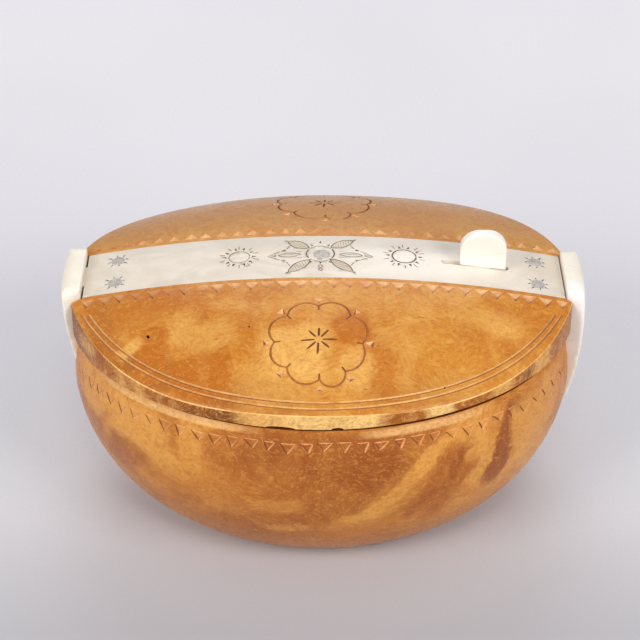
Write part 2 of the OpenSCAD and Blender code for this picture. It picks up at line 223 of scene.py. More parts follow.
def stretched(tree, scale, turn=(0.0, 0.0, 0.0), shift=(0.0, 0.0, 0.0), place=None):
    """Object coordinates, or a place worked out from them, scaled and turned."""
    start = place or object_place(tree)
    return node(tree, "ShaderNodeMapping", {0: start, 1: shift, 2: turn, 3: scale}).outputs[0]


def noise(tree, vector, detail=3.0, rough=0.5, distortion=0.0, output=0):
    settings = {"Vector": vector, "Scale": 1.0, "Detail": detail, "Roughness": rough}
    made = node(tree, "ShaderNodeTexNoise", {**settings, "Distortion": distortion})
    return made.outputs[output]


def cells(tree, scale):
    """Distance from the nearest of many scattered points."""
    settings = {"Vector": stretched(tree, scale), "Scale": 1.0}
    return node(tree, "ShaderNodeTexVoronoi", settings).outputs["Distance"]


def ramp(tree, value, stops):
    """A colour ramp through the given places and colours."""
    made = node(tree, "ShaderNodeValToRGB", {0: value})
    points = made.color_ramp.elements
    while len(points) < len(stops):
        points.new(0.5)
    for point, (place, colour) in zip(points, stops):
        point.position = place
        point.color = colour
    return made.outputs[0]


def new_group(name, inputs, outputs):
    """An empty node group with its sockets, ready to fill."""
    group = bpy.data.node_groups.new(name, "ShaderNodeTree")
    for label, kind in inputs:
        group.interface.new_socket(label, in_out="INPUT", socket_type=kind)
    for label in outputs:
        group.interface.new_socket(label, in_out="OUTPUT", socket_type="NodeSocketFloat")
    return group


def use_group(tree, group, inputs=None):
    """The outputs of a shared group, put to use in a tree."""
    return node(tree, "ShaderNodeGroup", inputs, node_tree=group).outputs


def pushed(tree, colour, middle, reach):
    """Object coordinates pushed about by a noise's colour."""
    centred = vectors(tree, "SUBTRACT", colour, (middle, middle, middle))
    shift = node(tree, "ShaderNodeVectorMath", {0: centred, "Scale": reach}, operation="SCALE").outputs[0]
    return vectors(tree, "ADD", object_place(tree), shift)


def sparse_marks(tree, scale, span, broad_scale, broad_span):
    """Small marks at scattered points, kept only where a broad noise runs high."""
    broad = noise(tree, stretched(tree, broad_scale), 2.0)
    return maths(tree, "MULTIPLY", ease(tree, cells(tree, scale), *span), ease(tree, broad, *broad_span))


def wood_figure_group():
    """Fibre, mottle, grain, curl, cloud and flecks of the curly wood, shared by each wooden face."""
    group = new_group("wood_figure", [], ["Fibre", "Mottle", "Grain", "Flame", "Cloud", "Fleck"])
    out = node(group, "NodeGroupOutput")
    broad = noise(group, stretched(group, (55, 55, 55)), 2.0, 0.5, 0.0, "Color")
    bent = pushed(group, broad, 0.5, 14 * MM)
    figures = {
        "Grain": (stretched(group, (900, 1250, 1250), place=bent), (4.0, 0.65, 0.8), (0.34, 0.68)),
        "Fibre": (stretched(group, (520, 1050, 1050), (0.0, 0.1, 0.2), place=bent),
                  (5.0, 0.62, 0.9), (0.34, 0.7)),
        "Mottle": (stretched(group, (260, 340, 340), (0.0, 0.3, 0.3), place=bent),
                   (5.0, 0.65, 1.4), (0.24, 0.76)),
        "Flame": (stretched(group, (95, 34, 30), (0.0, 0.3, 0.2)), (3.0, 0.5, 1.4), (0.34, 0.66)),
        "Cloud": (stretched(group, (36, 44, 42), shift=(3.1, 1.7, 0.4)), (3.0, 0.5, 0.9), (0.36, 0.64)),
    }
    for label, (place, detail, span) in figures.items():
        group.links.new(ease(group, noise(group, place, *detail), *span), out.inputs[label])
    fleck = sparse_marks(group, (260, 900, 900), (0.22, 0.1), (70, 150, 150), (0.6, 0.7))
    group.links.new(fleck, out.inputs["Fleck"])
    return group


def soft_patch_group():
    """A soft-edged patch about a place, drawn out and turned, with an outline that is pushed about."""
    inputs = [("Place", "NodeSocketVector"), ("Reach", "NodeSocketVector"), ("Turn", "NodeSocketVector"),
              ("Edge", "NodeSocketFloat"), ("Push", "NodeSocketFloat")]
    group = new_group("soft_patch", inputs, ["Mask"])
    given = node(group, "NodeGroupInput").outputs
    out = node(group, "NodeGroupOutput")
    broad = noise(group, stretched(group, (70, 90, 75)), 4.0, 0.5, 0.3, "Color")
    fine = noise(group, stretched(group, (190, 620, 520), (0.0, 0.3, 0.2)), 3.0, 0.6, 0.6, "Color")
    push = vectors(group, "ADD", broad, vectors(group, "MULTIPLY", fine, (0.4, 0.4, 0.4)))
    away = vectors(group, "SUBTRACT", pushed(group, push, 0.7, given["Push"]), given["Place"])
    turning = {"Vector": away, "Rotation": given["Turn"]}
    turned = node(group, "ShaderNodeVectorRotate", turning, rotation_type="EULER_XYZ", invert=True)
    share = vectors(group, "DIVIDE", turned.outputs[0], given["Reach"])
    square = vectors(group, "MULTIPLY", share, share)
    length = maths(group, "POWER", vectors(group, "DOT_PRODUCT", square, square, "Value"), 0.25)
    inner = maths(group, "SUBTRACT", 1.0, given["Edge"])
    outer = maths(group, "ADD", 1.0, given["Edge"])
    group.links.new(ease(group, length, outer, inner), out.inputs["Mask"])
    return group


def antler_mottle_group():
    """Clouding, pores and fine scratches of worked antler."""
    group = new_group("antler_mottle", [], ["Cloud", "Pore", "Scratch"])
    out = node(group, "NodeGroupOutput")
    cloud = noise(group, stretched(group, (60, 110, 90)), 4.0, 0.6, 0.8)
    group.links.new(ease(group, cloud, 0.35, 0.68), out.inputs["Cloud"])
    pore = sparse_marks(group, (420, 900, 900), (0.3, 0.12), (120, 160, 140), (0.54, 0.68))
    group.links.new(pore, out.inputs["Pore"])
    scratch = noise(group, stretched(group, (60, 1900, 1900), (0.0, 0.0, 0.12)), 2.0)
    group.links.new(ease(group, scratch, 0.6, 0.72), out.inputs["Scratch"])
    return group


wood_figure = wood_figure_group()
soft_patch = soft_patch_group()
antler_mottle = antler_mottle_group()


def new_material(name, constants=None):
    """A material with its shader, the shader's constants set, joined to its output."""
    material = bpy.data.materials.new(name)
    material.use_nodes = True
    tree = material.node_tree
    tree.nodes.clear()
    shader = node(tree, "ShaderNodeBsdfPrincipled", constants)
    node(tree, "ShaderNodeOutputMaterial", {"Surface": shader.outputs[0]})
    return material, tree, shader


def feed(tree, shader, colour, rough, height=None, strength=0.0, distance=0.0):
    """Links a shader's colour and roughness, and its bump where there is one."""
    tree.links.new(colour, shader.inputs["Base Color"])
    tree.links.new(rough, shader.inputs["Roughness"])
    if height:
        bump = node(tree, "ShaderNodeBump", {"Strength": strength, "Distance": distance, "Height": height})
        tree.links.new(bump.outputs[0], shader.inputs["Normal"])


def patch(place, reach, tint, strength=0.7, lean=0, swing=0, edge=0.35, push=9):
    """One patch of figure, or of painted light or shade: place, reach and push in millimetres, and its lean
    and swing in degrees.
    """
    sizes = {
        "Place": [c * MM for c in place],
        "Reach": [c * MM for c in reach],
        "Turn": (0.0, math.radians(-lean), math.radians(swing)),
        "Edge": edge,
        "Push": push * MM,
    }
    return sizes, tint, strength


def lay_patches(tree, colour, patches):
    """Blends patches of figure, painted light and painted shade over a colour, one after another."""
    for sizes, tint, strength in patches:
        mask = use_group(tree, soft_patch, sizes)["Mask"]
        colour = blend_colour(tree, maths(tree, "MULTIPLY", mask, strength), colour, tint)
    return colour


def weighed(tree, shares):
    """Values added up, each by its own share."""
    total = None
    for value, share in shares:
        part = maths(tree, "MULTIPLY", value, share)
        total = maths(tree, "ADD", total, part) if total else part
    return total


def runs_along(tree, runs):
    """Colour in runs along the box's length, each tone given with the place where it is full."""
    waver = noise(tree, stretched(tree, (150, 150, 150)), 3.0)
    along = node(tree, "ShaderNodeSeparateXYZ", {0: object_place(tree)}).outputs["X"]
    shift = maths(tree, "MULTIPLY", maths(tree, "SUBTRACT", waver, 0.5), 4 * MM)
    place = maths(tree, "ADD", along, shift)
    share = node(tree, "ShaderNodeMapRange", {"Value": place, 1: -lid_a, 2: lid_a}).outputs[0]
    return ramp(tree, share, [((x * MM + lid_a) / (2 * lid_a), tint) for x, tint in runs])


def oiled_wood(name, brown, amber, gold, patches, runs=None):
    """Oiled curly wood, with the patches or the runs that the figure makes on this piece, and on some
    pieces patches of painted light and shade.
    """
    shine = {"Specular IOR Level": 0.16, "Coat Weight": 0.05, "Coat Roughness": 0.16}
    material, tree, shader = new_material(name, shine)
    figure = use_group(tree, wood_figure)
    if runs:
        colour = runs_along(tree, runs)
    else:
        tone = weighed(tree, [(figure["Cloud"], 0.42), (figure["Flame"], 0.4), (figure["Mottle"], 0.18)])
        colour = ramp(tree, tone, [(0.1, brown), (0.45, amber), (0.9, gold)])
    colour = lay_patches(tree, colour, patches)
    sways = [
        ("Mottle", 0.5, 0.0, 0.36, brown), ("Mottle", 0.5, 1.0, 0.34, gold),
        ("Flame", 0.5, 1.0, 0.16, brown), ("Flame", 0.5, 0.0, 0.14, gold),
        ("Grain", 0.6, 1.0, 0.36, gold), ("Grain", 0.4, 0.0, 0.34, brown),
    ]
    for label, start, end, share, tint in sways:
        colour = blend_colour(tree, ease(tree, figure[label], start, end, 0.0, share), colour, tint)
    fibre = ease(tree, figure["Fibre"], 0.0, 1.0, 0.0, 0.24)
    colour = blend_colour(tree, fibre, colour, rgb(190, 124, 56), "MULTIPLY")
    colour = blend_colour(tree, maths(tree, "MULTIPLY", figure["Fleck"], 0.6), colour, rgb(112, 60, 26))
    rough = ease(tree, figure["Fibre"], 0.0, 1.0, 0.26, 0.38)
    height = weighed(tree, [(figure["Fibre"], 0.5), (figure["Grain"], 0.5), (figure["Fleck"], -1.0)])
    feed(tree, shader, colour, rough, height, 0.22, 0.12 * MM)
    return material


def cut_wood(name, low, high, rough, patches=(), shine=0.5):
    """Wood laid bare by the knife, with its fibre showing."""
    material, tree, shader = new_material(name, {"Specular IOR Level": shine})
    figure = use_group(tree, wood_figure)
    fibre = figure["Fibre"]
    tone = weighed(tree, [(fibre, 0.3), (figure["Mottle"], 0.4), (figure["Cloud"], 0.3)])
    colour = lay_patches(tree, ramp(tree, tone, [(0.1, low), (0.9, high)]), patches)
    feed(tree, shader, colour, ease(tree, fibre, 0.0, 1.0, rough, rough + 0.15), fibre, 0.2, 0.1 * MM)
    return material


def worked_antler(name, pale, grey, patches, pore_share):
    """Scraped and polished antler, clouded and finely pored."""
    glow = {"Subsurface Weight": 0.12, "Subsurface Radius": (1.0, 0.8, 0.6), "Subsurface Scale": 1.2 * MM}
    material, tree, shader = new_material(name, glow)
    mottle = use_group(tree, antler_mottle)
    colour = lay_patches(tree, blend_colour(tree, mottle["Cloud"], grey, pale), patches)
    marks = [("Pore", pore_share, rgb(168, 150, 124)), ("Scratch", 0.06, rgb(160, 150, 134))]
    for label, share, tint in marks:
        colour = blend_colour(tree, maths(tree, "MULTIPLY", mottle[label], share), colour, tint)
    rough = ease(tree, mottle["Cloud"], 0.0, 1.0, 0.45, 0.34)
    height = weighed(tree, [(mottle["Pore"], 1.0), (mottle["Scratch"], 0.4)])
    feed(tree, shader, colour, rough, height, -0.1, 0.06 * MM)
    return material


def rubbed_pigment(name, dark, middle, pale):
    """Pigment rubbed into the engraving, worn thin in places."""
    material, tree, shader = new_material(name)
    worn = noise(tree, stretched(tree, (330, 330, 330)), 3.0, 0.6)
    colour = ramp(tree, worn, [(0.3, dark), (0.52, middle), (0.75, pale)])
    feed(tree, shader, colour, ease(tree, worn, 0.3, 0.7, 0.7, 0.9))
    return material


def dull_metal():
    """The pins' soft grey metal, tarnished in specks and filed flush."""
    material, tree, shader = new_material("dull_metal")
    tarnish = noise(tree, stretched(tree, (620, 620, 620)), 4.0, 0.65)
    rub = noise(tree, stretched(tree, (500, 2600, 900)), 2.0)
    stops = [(0.3, rgb(152, 149, 143)), (0.48, rgb(188, 183, 176)), (0.72, rgb(212, 206, 197))]
    colour = ramp(tree, tarnish, stops)
    speck = ease(tree, cells(tree, (1100, 1100, 1100)), 0.3, 0.16, 0.0, 0.5)
    colour = blend_colour(tree, speck, colour, rgb(116, 121, 128))
    tree.links.new(ease(tree, tarnish, 0.3, 0.6, 0.1, 0.3), shader.inputs["Metallic"])
    feed(tree, shader, colour, ease(tree, rub, 0.3, 0.7, 0.45, 0.65), rub, 0.15, 0.05 * MM)
    return material


# Tones of the lid's wood and of the bowl's redder wood, with painted highlight and shade tones among them
LID_BROWN = rgb(168, 98, 40)
LID_ORANGE = rgb(192, 112, 36)
LID_AMBER = rgb(210, 140, 50)
LID_GOLD = rgb(228, 172, 88)
LID_PALE = rgb(248, 198, 112)
EDGE_DARK = rgb(136, 74, 24)
EDGE_BROWN = rgb(178, 105, 39)
EDGE_GOLD = rgb(255, 212, 134)
EDGE_PALE = rgb(233, 172, 92)
# Duller greyish brown for the back half, which faces away from the light: painted shade
BACK_PAINTED_SHADE = rgb(198, 153, 104)
BOWL_RUST = rgb(155, 82, 34)
BOWL_BROWN = rgb(182, 106, 44)
BOWL_TAN = rgb(212, 138, 58)
BOWL_STRAW = rgb(238, 172, 84)
BOWL_PAINTED_HIGHLIGHT = rgb(255, 208, 140)
# Near-black brown for the gap under the lid: painted shade
SEAM_PAINTED_SHADE = rgb(66, 28, 6)

LID_FIGURE_AND_SHADE = [
    patch((-58, -33.5, 68.5), (9, 3.6, 8), LID_BROWN, 0.55, swing=-47, edge=0.6, push=3),
    patch((-42, -44.5, 69), (20, 4.4, 8), LID_BROWN, 0.9, swing=-31, edge=0.6, push=3),
    patch((-16.5, -53, 68), (13, 4, 8), LID_BROWN, 0.75, swing=-11, edge=0.6, push=3),
    patch((25, -50.5, 68), (13, 4, 8), LID_BROWN, 0.6, swing=16, edge=0.6, push=3),
    patch((-58, -19, 74), (15, 9, 8), LID_ORANGE, 0.6),
    patch((-64, -26, 70), (5, 12, 6), LID_BROWN, 0.55),
    patch((-47.6, -35.5, 72), (4.8, 8.5, 9), LID_ORANGE, 0.9, swing=-6, edge=0.1, push=3),
    patch((-54.2, -32.2, 71.2), (3.4, 1.7, 6), LID_PALE, 0.7, swing=32, edge=0.4, push=4),
    patch((-34, -45, 70), (9, 6.5, 9), LID_ORANGE, 0.9, edge=0.08, push=2.5),
    patch((-39.6, -30, 76), (3.0, 5.5, 8), LID_PALE, 0.5, swing=-8, edge=0.7, push=8),
    patch((-31, -33, 75), (7, 5, 6), LID_GOLD, 0.7),
    patch((-42, -18, 77), (12, 4, 6), LID_ORANGE, 0.5),
    patch((-20.5, -26, 78), (2.6, 8, 6), LID_ORANGE, 0.45, swing=-10),
    patch((-9, -50, 71), (14, 6, 8), LID_GOLD, 0.65, edge=0.3),
    patch((-7.5, -40, 76), (9.5, 9, 8), LID_PALE, 0.75, edge=0.3),
    patch((8.6, -32.4, 77.6), (5.4, 5.6, 7), LID_ORANGE, 0.95, swing=24, edge=0.2, push=3),
    patch((17, -44, 72), (4.4, 9, 9), LID_ORANGE, 0.75, swing=22, edge=0.6, push=9),
    patch((9, -45.5, 72), (4, 6, 8), LID_PALE, 0.6),
    patch((27, -25, 77), (4, 6, 7), LID_PALE, 0.3),
    patch((34, -37, 74), (10, 8, 8), LID_AMBER, 0.5),
    patch((24, -43, 73), (3, 8, 8), LID_GOLD, 0.5, swing=-10),
    patch((42, -31, 75), (5, 4, 6), LID_ORANGE, 0.5, edge=0.6),
    patch((52, -26, 74), (6, 4.5, 6), LID_PALE, 0.55, edge=0.6),
    patch((56, -32.5, 70.5), (6, 4, 6), LID_ORANGE, 0.7, swing=30),
    patch((36, -46, 69), (9, 3, 6), LID_GOLD, 0.4, swing=20),
    # Painted shade over the lid's back half
    patch((0, 40, 74), (90, 26, 20), BACK_PAINTED_SHADE, 0.75, edge=0.3),
]
EDGE_RUNS = [
    (-72, EDGE_DARK), (-60, EDGE_BROWN), (-57, EDGE_PALE), (-54, EDGE_BROWN), (-51, EDGE_PALE),
    (-48, EDGE_BROWN), (-26, EDGE_DARK), (-20, EDGE_PALE), (-6, EDGE_GOLD), (14, EDGE_GOLD),
    (19, EDGE_BROWN), (28, EDGE_BROWN), (31, EDGE_GOLD), (36, EDGE_GOLD), (38, EDGE_BROWN),
    (46, EDGE_BROWN), (48.5, EDGE_PALE), (52.5, EDGE_PALE), (55, EDGE_BROWN), (59, EDGE_DARK),
    (61, EDGE_PALE), (64, EDGE_PALE), (66, EDGE_BROWN), (72, EDGE_BROWN),
]
EDGE_FIGURE_AND_SHADE = [
    patch((-67, -24, 67), (3.5, 6, 2.2), EDGE_PALE, 0.45, push=5),
    patch((-62, -31, 63.5), (3, 5, 2), LID_ORANGE, 0.5, push=5),
    # Painted shade over the back half of the edge
    patch((0, 45, 64), (90, 40, 20), BACK_PAINTED_SHADE, 0.75, edge=0.2, push=2),
]
# Where the arris's painted highlight is toned down towards the edge's brown, and painted shade over the
# back half
ARRIS_HIGHLIGHT_AND_SHADE = [
    patch((-68, -20, 66), (9, 18, 10), EDGE_BROWN, 0.75),
    patch((22.5, -54, 66), (5.5, 18, 10), EDGE_BROWN, 0.75),
    patch((64, -27, 66), (8, 18, 10), EDGE_BROWN, 0.45),
    patch((0, 45, 64), (90, 40, 20), BACK_PAINTED_SHADE, 0.6, edge=0.2, push=2),
]
BOWL_FIGURE_LIGHT_AND_SHADE = [
    patch((1, -58, 52), (27, 16, 9), BOWL_RUST, 0.9),
    patch((6, -57.5, 36), (22, 14, 9), BOWL_RUST, 0.6),
    patch((-20, -55, 40), (13, 12, 9), BOWL_BROWN, 0.6),
    patch((-68, -24, 38), (4, 14, 8), BOWL_RUST, 0.5),
    patch((-67, -26, 52), (4, 8, 7), BOWL_STRAW, 0.7),
    patch((-58, -36, 36), (6, 12, 7), BOWL_RUST, 0.65, lean=-40),
    patch((-52, -42, 50), (9, 12, 7), BOWL_STRAW, 0.98, push=6),
    patch((-61, -34, 53), (6, 10, 5), BOWL_STRAW, 0.85),
    patch((-44, -46.5, 41.5), (8, 10, 4), BOWL_STRAW, 0.85, lean=-34, push=6),
    patch((-36, -50, 36), (12, 9, 6), BOWL_TAN, 0.5),
    # Painted highlight along the rim's rounding, just under the lid
    patch((-44, -46, 59.5), (22, 24, 1.3), BOWL_PAINTED_HIGHLIGHT, 0.85, edge=0.3, push=0.6),
    patch((29, -52, 58.9), (16, 14, 1.2), BOWL_PAINTED_HIGHLIGHT, 0.75, edge=0.35, push=0.6),
    patch((-13, -56.5, 33.5), (7, 8, 3), BOWL_STRAW, 0.45),
    patch((14, -56, 47), (8, 10, 6), BOWL_RUST, 0.8, lean=50, edge=0.3, push=5),
    patch((34, -51, 36), (14, 10, 6), BOWL_BROWN, 0.95, lean=62, edge=0.25, push=5),
    patch((23, -54, 39.5), (21, 15, 2.5), BOWL_STRAW, 0.9, lean=49, edge=0.3, push=6),
    patch((13, -54, 28), (12, 12, 3.6), BOWL_STRAW, 0.6, lean=34, edge=0.4, push=6),
    patch((14, -53, 24), (15, 14, 2.8), BOWL_TAN, 0.7, lean=14, edge=0.35, push=6),
    patch((44, -47, 50), (3.4, 10, 7), BOWL_STRAW, 0.8, lean=-6, edge=0.3, push=5),
    patch((38, -49.5, 43), (9, 9, 1.5), BOWL_RUST, 0.7, lean=68, edge=0.4, push=5),
    patch((28, -51, 31), (7, 9, 1.3), BOWL_RUST, 0.6, lean=56, edge=0.4, push=5),
    patch((46.5, -45.5, 40), (2.6, 9, 9), BOWL_STRAW, 0.75, lean=-12, edge=0.3, push=5),
    patch((52.6, -42, 44), (3.2, 10, 14), BOWL_RUST, 1.0, lean=-16, edge=0.2, push=6),
    patch((60, -34, 44), (5, 12, 11), BOWL_STRAW, 0.95),
    patch((65, -28, 50), (3, 9, 8), BOWL_STRAW, 0.6),
    patch((40, -42, 20), (22, 16, 3), BOWL_TAN, 0.5, lean=25),
    # Painted shade: the bowl darker towards the bottom, where less light reaches
    patch((0, -40, 9), (90, 60, 12), BOWL_BROWN, 0.6, edge=0.6),
    patch((-17, -50, 22), (16, 20, 8), BOWL_RUST, 0.5, edge=0.6),
    patch((-10, -52, 23), (6, 12, 2), BOWL_STRAW, 0.5),
    # Painted shade at the seam: the rim under the lid's raised right half, and the rim under the two open
    # places in front
    patch((43, -40, 61.9), (33, 34, 1.3), BOWL_RUST, 0.9, edge=0.2, push=0.3),
    patch((-11.7, -57, 61.7), (4.0, 4, 1.2), SEAM_PAINTED_SHADE, 0.9, edge=0.2, push=0.3),
    patch((4.3, -57, 61.7), (1.5, 4, 1.0), SEAM_PAINTED_SHADE, 0.8, edge=0.25, push=0.3),
]
CHIP_FIGURE = [
    patch((-52, -14, 78), (17, 6, 9), BOWL_BROWN, 0.6, edge=0.3, push=4),
    patch((8, -14, 81), (5, 6, 6), rgb(222, 140, 96), 0.7, edge=0.4, push=3),
    patch((-66, 14, 76), (10, 6, 9), BOWL_BROWN, 0.55, edge=0.3, push=4),
    patch((4, 14, 81), (6, 6, 6), rgb(206, 128, 84), 0.6, edge=0.4, push=3),
]
POST_CLOUD_AND_LIGHT = [
    patch((-74, 4, 70), (5, 8, 6), rgb(238, 226, 202), 0.3),
    # Painted light: the right post's front side, under the lid's corner, brightened to near white
    patch((76, -11, 68), (7, 5, 14), rgb(255, 254, 249), 1.0, edge=0.5, push=2),
]
BAND_CLOUD = [
    patch((30, -2, 79), (22, 9, 8), rgb(252, 245, 233), 0.8, edge=0.6),
    patch((-5, 10, 81), (60, 5, 6), rgb(208, 203, 194), 0.4, edge=0.6),
    patch((30, 10, 79), (14, 3.5, 5), rgb(204, 198, 188), 0.45, edge=0.6),
]

lid_wood = oiled_wood("lid_wood", LID_ORANGE, LID_AMBER, LID_GOLD, LID_FIGURE_AND_SHADE)
edge_wood = oiled_wood("edge_wood", EDGE_DARK, EDGE_BROWN, EDGE_GOLD, EDGE_FIGURE_AND_SHADE, EDGE_RUNS)
# The arris of the lid's edge is painted paler and golden: a painted highlight along the rounding
arris_painted_highlight = oiled_wood("arris_painted_highlight", EDGE_PALE, EDGE_GOLD, EDGE_GOLD, ARRIS_HIGHLIGHT_AND_SHADE)
bowl_wood = oiled_wood("bowl_wood", BOWL_BROWN, BOWL_TAN, BOWL_STRAW, BOWL_FIGURE_LIGHT_AND_SHADE)
# Pale and dark cut wood: the pale one has the fresh-cut tone, and as a pair they paint light on facets and
# walls that face the front and shade on the rest
chip_wood = cut_wood("chip_wood", rgb(206, 140, 84), rgb(252, 206, 150), 0.4, CHIP_FIGURE)
chip_painted_shade = cut_wood("chip_painted_shade", rgb(124, 66, 26), rgb(168, 98, 42), 0.45)
# Groove and rosette lines: the darker finish paints shade on the walls turned away, the paler one a painted
# highlight on the walls that face front
groove_wood = cut_wood("groove_wood", rgb(142, 80, 32), rgb(184, 116, 54), 0.35)
groove_painted_highlight = cut_wood("groove_painted_highlight", rgb(204, 138, 68), rgb(248, 202, 128), 0.3)
scored_wood = cut_wood("scored_wood", rgb(104, 56, 22), rgb(150, 86, 36), 0.45)
rosette_wood = cut_wood("rosette_wood", rgb(122, 66, 24), rgb(166, 98, 42), 0.4)
rosette_painted_highlight = cut_wood("rosette_painted_highlight", rgb(156, 90, 38), rgb(202, 134, 66), 0.35)
# Pale cut wood of the bowl's notches; paired with the dark chip finish it also stands for painted light
notch_wood = cut_wood("notch_wood", rgb(214, 142, 84), rgb(248, 190, 130), 0.4)
bored_wood = cut_wood("bored_wood", rgb(26, 16, 10), rgb(48, 30, 18), 0.9)
lip_wood = cut_wood("lip_wood", BOWL_RUST, BOWL_BROWN, 0.6, shine=0.2)
# Dark matte walls of the post grooves: painted shade round the posts
pocket_painted_shade = cut_wood("pocket_painted_shade", rgb(92, 46, 16), rgb(126, 68, 26), 0.85, shine=0.08)
# Dark matte band round the bowl's outer rim top: painted shade of the gap under the lid
rim_painted_shade = cut_wood("rim_painted_shade", SEAM_PAINTED_SHADE, rgb(104, 52, 16), 0.85, shine=0.06)
inner_wood = cut_wood("inner_wood", rgb(188, 124, 62), rgb(220, 162, 92), 0.6)
post_antler = worked_antler("post_antler", rgb(252, 246, 234), rgb(245, 237, 221), POST_CLOUD_AND_LIGHT, 0.2)
tab_antler = worked_antler("tab_antler", rgb(255, 252, 245), rgb(252, 247, 237), [], 0.06)
band_antler = worked_antler("band_antler", rgb(236, 226, 210), rgb(222, 211, 194), BAND_CLOUD, 0.25)
leaf_wash = worked_antler("leaf_wash", rgb(226, 214, 194), rgb(208, 195, 172), [], 0.4)
line_pigment = rubbed_pigment("line_pigment", rgb(96, 82, 66), rgb(128, 112, 93), rgb(174, 159, 138))
ray_pigment = rubbed_pigment("ray_pigment", rgb(92, 98, 108), rgb(120, 127, 138), rgb(160, 166, 174))
pin_metal = dull_metal()


# Mesh helpers

def show(data, name):
    """An object for a mesh, a curve, a lamp or a lens, put in the scene."""
    made = bpy.data.objects.new(name, data)
    bpy.context.scene.collection.objects.link(made)
    return made


def settle(bm, name, *materials):
    """Merges, turns the faces outwards and makes an object of a mesh in work."""
    bmesh.ops.remove_doubles(bm, verts=bm.verts, dist=MERGE)
    bmesh.ops.recalc_face_normals(bm, faces=bm.faces)
    mesh = bpy.data.meshes.new(name)
    bm.to_mesh(mesh)
    bm.free()
    for material in materials:
        mesh.materials.append(material)
    return show(mesh, name)


def built_mesh(piece):
    """The mesh that an object's curve or modifiers make."""
    bpy.context.view_layer.update()
    seen = piece.evaluated_get(bpy.context.evaluated_depsgraph_get())
    return bpy.data.meshes.new_from_object(seen)


def apply_steps(piece):
    """Keeps what the modifiers make as the piece's own mesh."""
    result = built_mesh(piece)
    piece.modifiers.clear()
    piece.data = result


def work(piece, tool, operation="DIFFERENCE"):
    """Cuts a piece with a tool shape, or joins the shape to it, and puts the tool away."""
    step = piece.modifiers.new("work", "BOOLEAN")
    step.object = tool
    step.operation = operation
    step.solver = "MANIFOLD"
    step.material_mode = "TRANSFER"
    before = len(piece.data.vertices)
    apply_steps(piece)
    if len(piece.data.vertices) == before:
        raise RuntimeError(f"{tool.name} left no mark on {piece.name}")
    bpy.data.objects.remove(tool)


def prism(bm, outline, low, high):
    """An upright prism over an outline of a few corners."""
    corners = [bm.verts.new((x, y, low)) for x, y in outline]
    raised = bmesh.ops.extrude_face_region(bm, geom=[bm.faces.new(corners)])["geom"]
    tops = [g for g in raised if isinstance(g, bmesh.types.BMVert)]
    bmesh.ops.translate(bm, verts=tops, vec=(0, 0, high - low))
    return corners + tops


def oblong(near, away, half):
    return [(near, -half), (away, -half), (away, half), (near, half)]


def block(bm, sizes):
    bmesh.ops.create_cube(bm, size=1.0)
    bmesh.ops.scale(bm, vec=sizes, verts=bm.verts)


def spin_round(bm, geom, steps):
    """Spins a section once round the upright axis."""
    turn = {"cent": (0, 0, 0), "axis": (0, 0, 1), "angle": math.tau, "use_merge": True}
    bmesh.ops.spin(bm, geom=geom, steps=steps, **turn)


def outward(centre, turn, reach):
    """The place that lies a given way and distance from a centre."""
    return centre[0] + reach * math.cos(turn), centre[1] + reach * math.sin(turn)


def arc_points(x, y, radius, start, end, steps):
    """Points along an arc about a centre, from one turn to another in degrees."""
    turns = [math.radians(start + (end - start) * i / steps) for i in range(steps + 1)]
    return [outward((x, y), turn, radius) for turn in turns]


def stroke(spot, first, last, half_at, steps):
    """A straight cut between two places of a face, its half width given along the way."""
    path = []
    for i in range(steps + 1):
        share = i / steps
        x = first[0] + (last[0] - first[0]) * share
        y = first[1] + (last[1] - first[1]) * share
        path.append((spot(x, y), half_at(share)))
    return path


def copy_of(name, new_name, material):
    """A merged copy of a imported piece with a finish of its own."""
    bm = bmesh.new()
    bm.from_mesh(frame["nodes"][name].data)
    return settle(bm, new_name, material)


def softened(name, new_name, material, cell, passes, inner=None):
    """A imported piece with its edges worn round, save at the face that a neighbour stands close to."""
    piece = copy_of(name, new_name, material)
    step = piece.modifiers.new("soft", "REMESH")
    step.mode = "VOXEL"
    step.voxel_size = cell
    apply_steps(piece)
    bm = bmesh.new()
    bm.from_mesh(piece.data)
    close = 0.4 * MM
    free = [v for v in bm.verts if inner is None or abs(v.co.x - inner) > close]
    for _ in range(passes):
        bmesh.ops.smooth_vert(bm, verts=free, factor=0.5, use_axis_x=True, use_axis_y=True, use_axis_z=True)
    bm.to_mesh(piece.data)
    bm.free()
    return piece


# How far a wall's normal must lean to the front to take the second finish, the painted light or shade of a
# pair
WALL_LEAN = 0.2


def tube_tool(name, paths, *materials):
    """Round gouge cuts along paths of (place, half width), a second finish on walls that face front, so
    that a pair of finishes paints light on one set of walls and shade on the other.
    """
    curve = bpy.data.curves.new(name, "CURVE")
    curve.dimensions = "3D"
    curve.bevel_depth = 1.0
    curve.bevel_resolution = 1
    curve.use_fill_caps = True
    for path in paths:
        spline = curve.splines.new("POLY")
        spline.points.add(len(path) - 1)
        for point, (place, half) in zip(spline.points, path):
            point.co = (*place, 1.0)
            point.radius = half
    line = show(curve, name)
    bm = bmesh.new()
    bm.from_mesh(built_mesh(line))
    bpy.data.objects.remove(line)
    bm.normal_update()
    for face in bm.faces:
        face.material_index = 1 if len(materials) > 1 and face.normal.y > WALL_LEAN else 0
    return settle(bm, name, *materials)


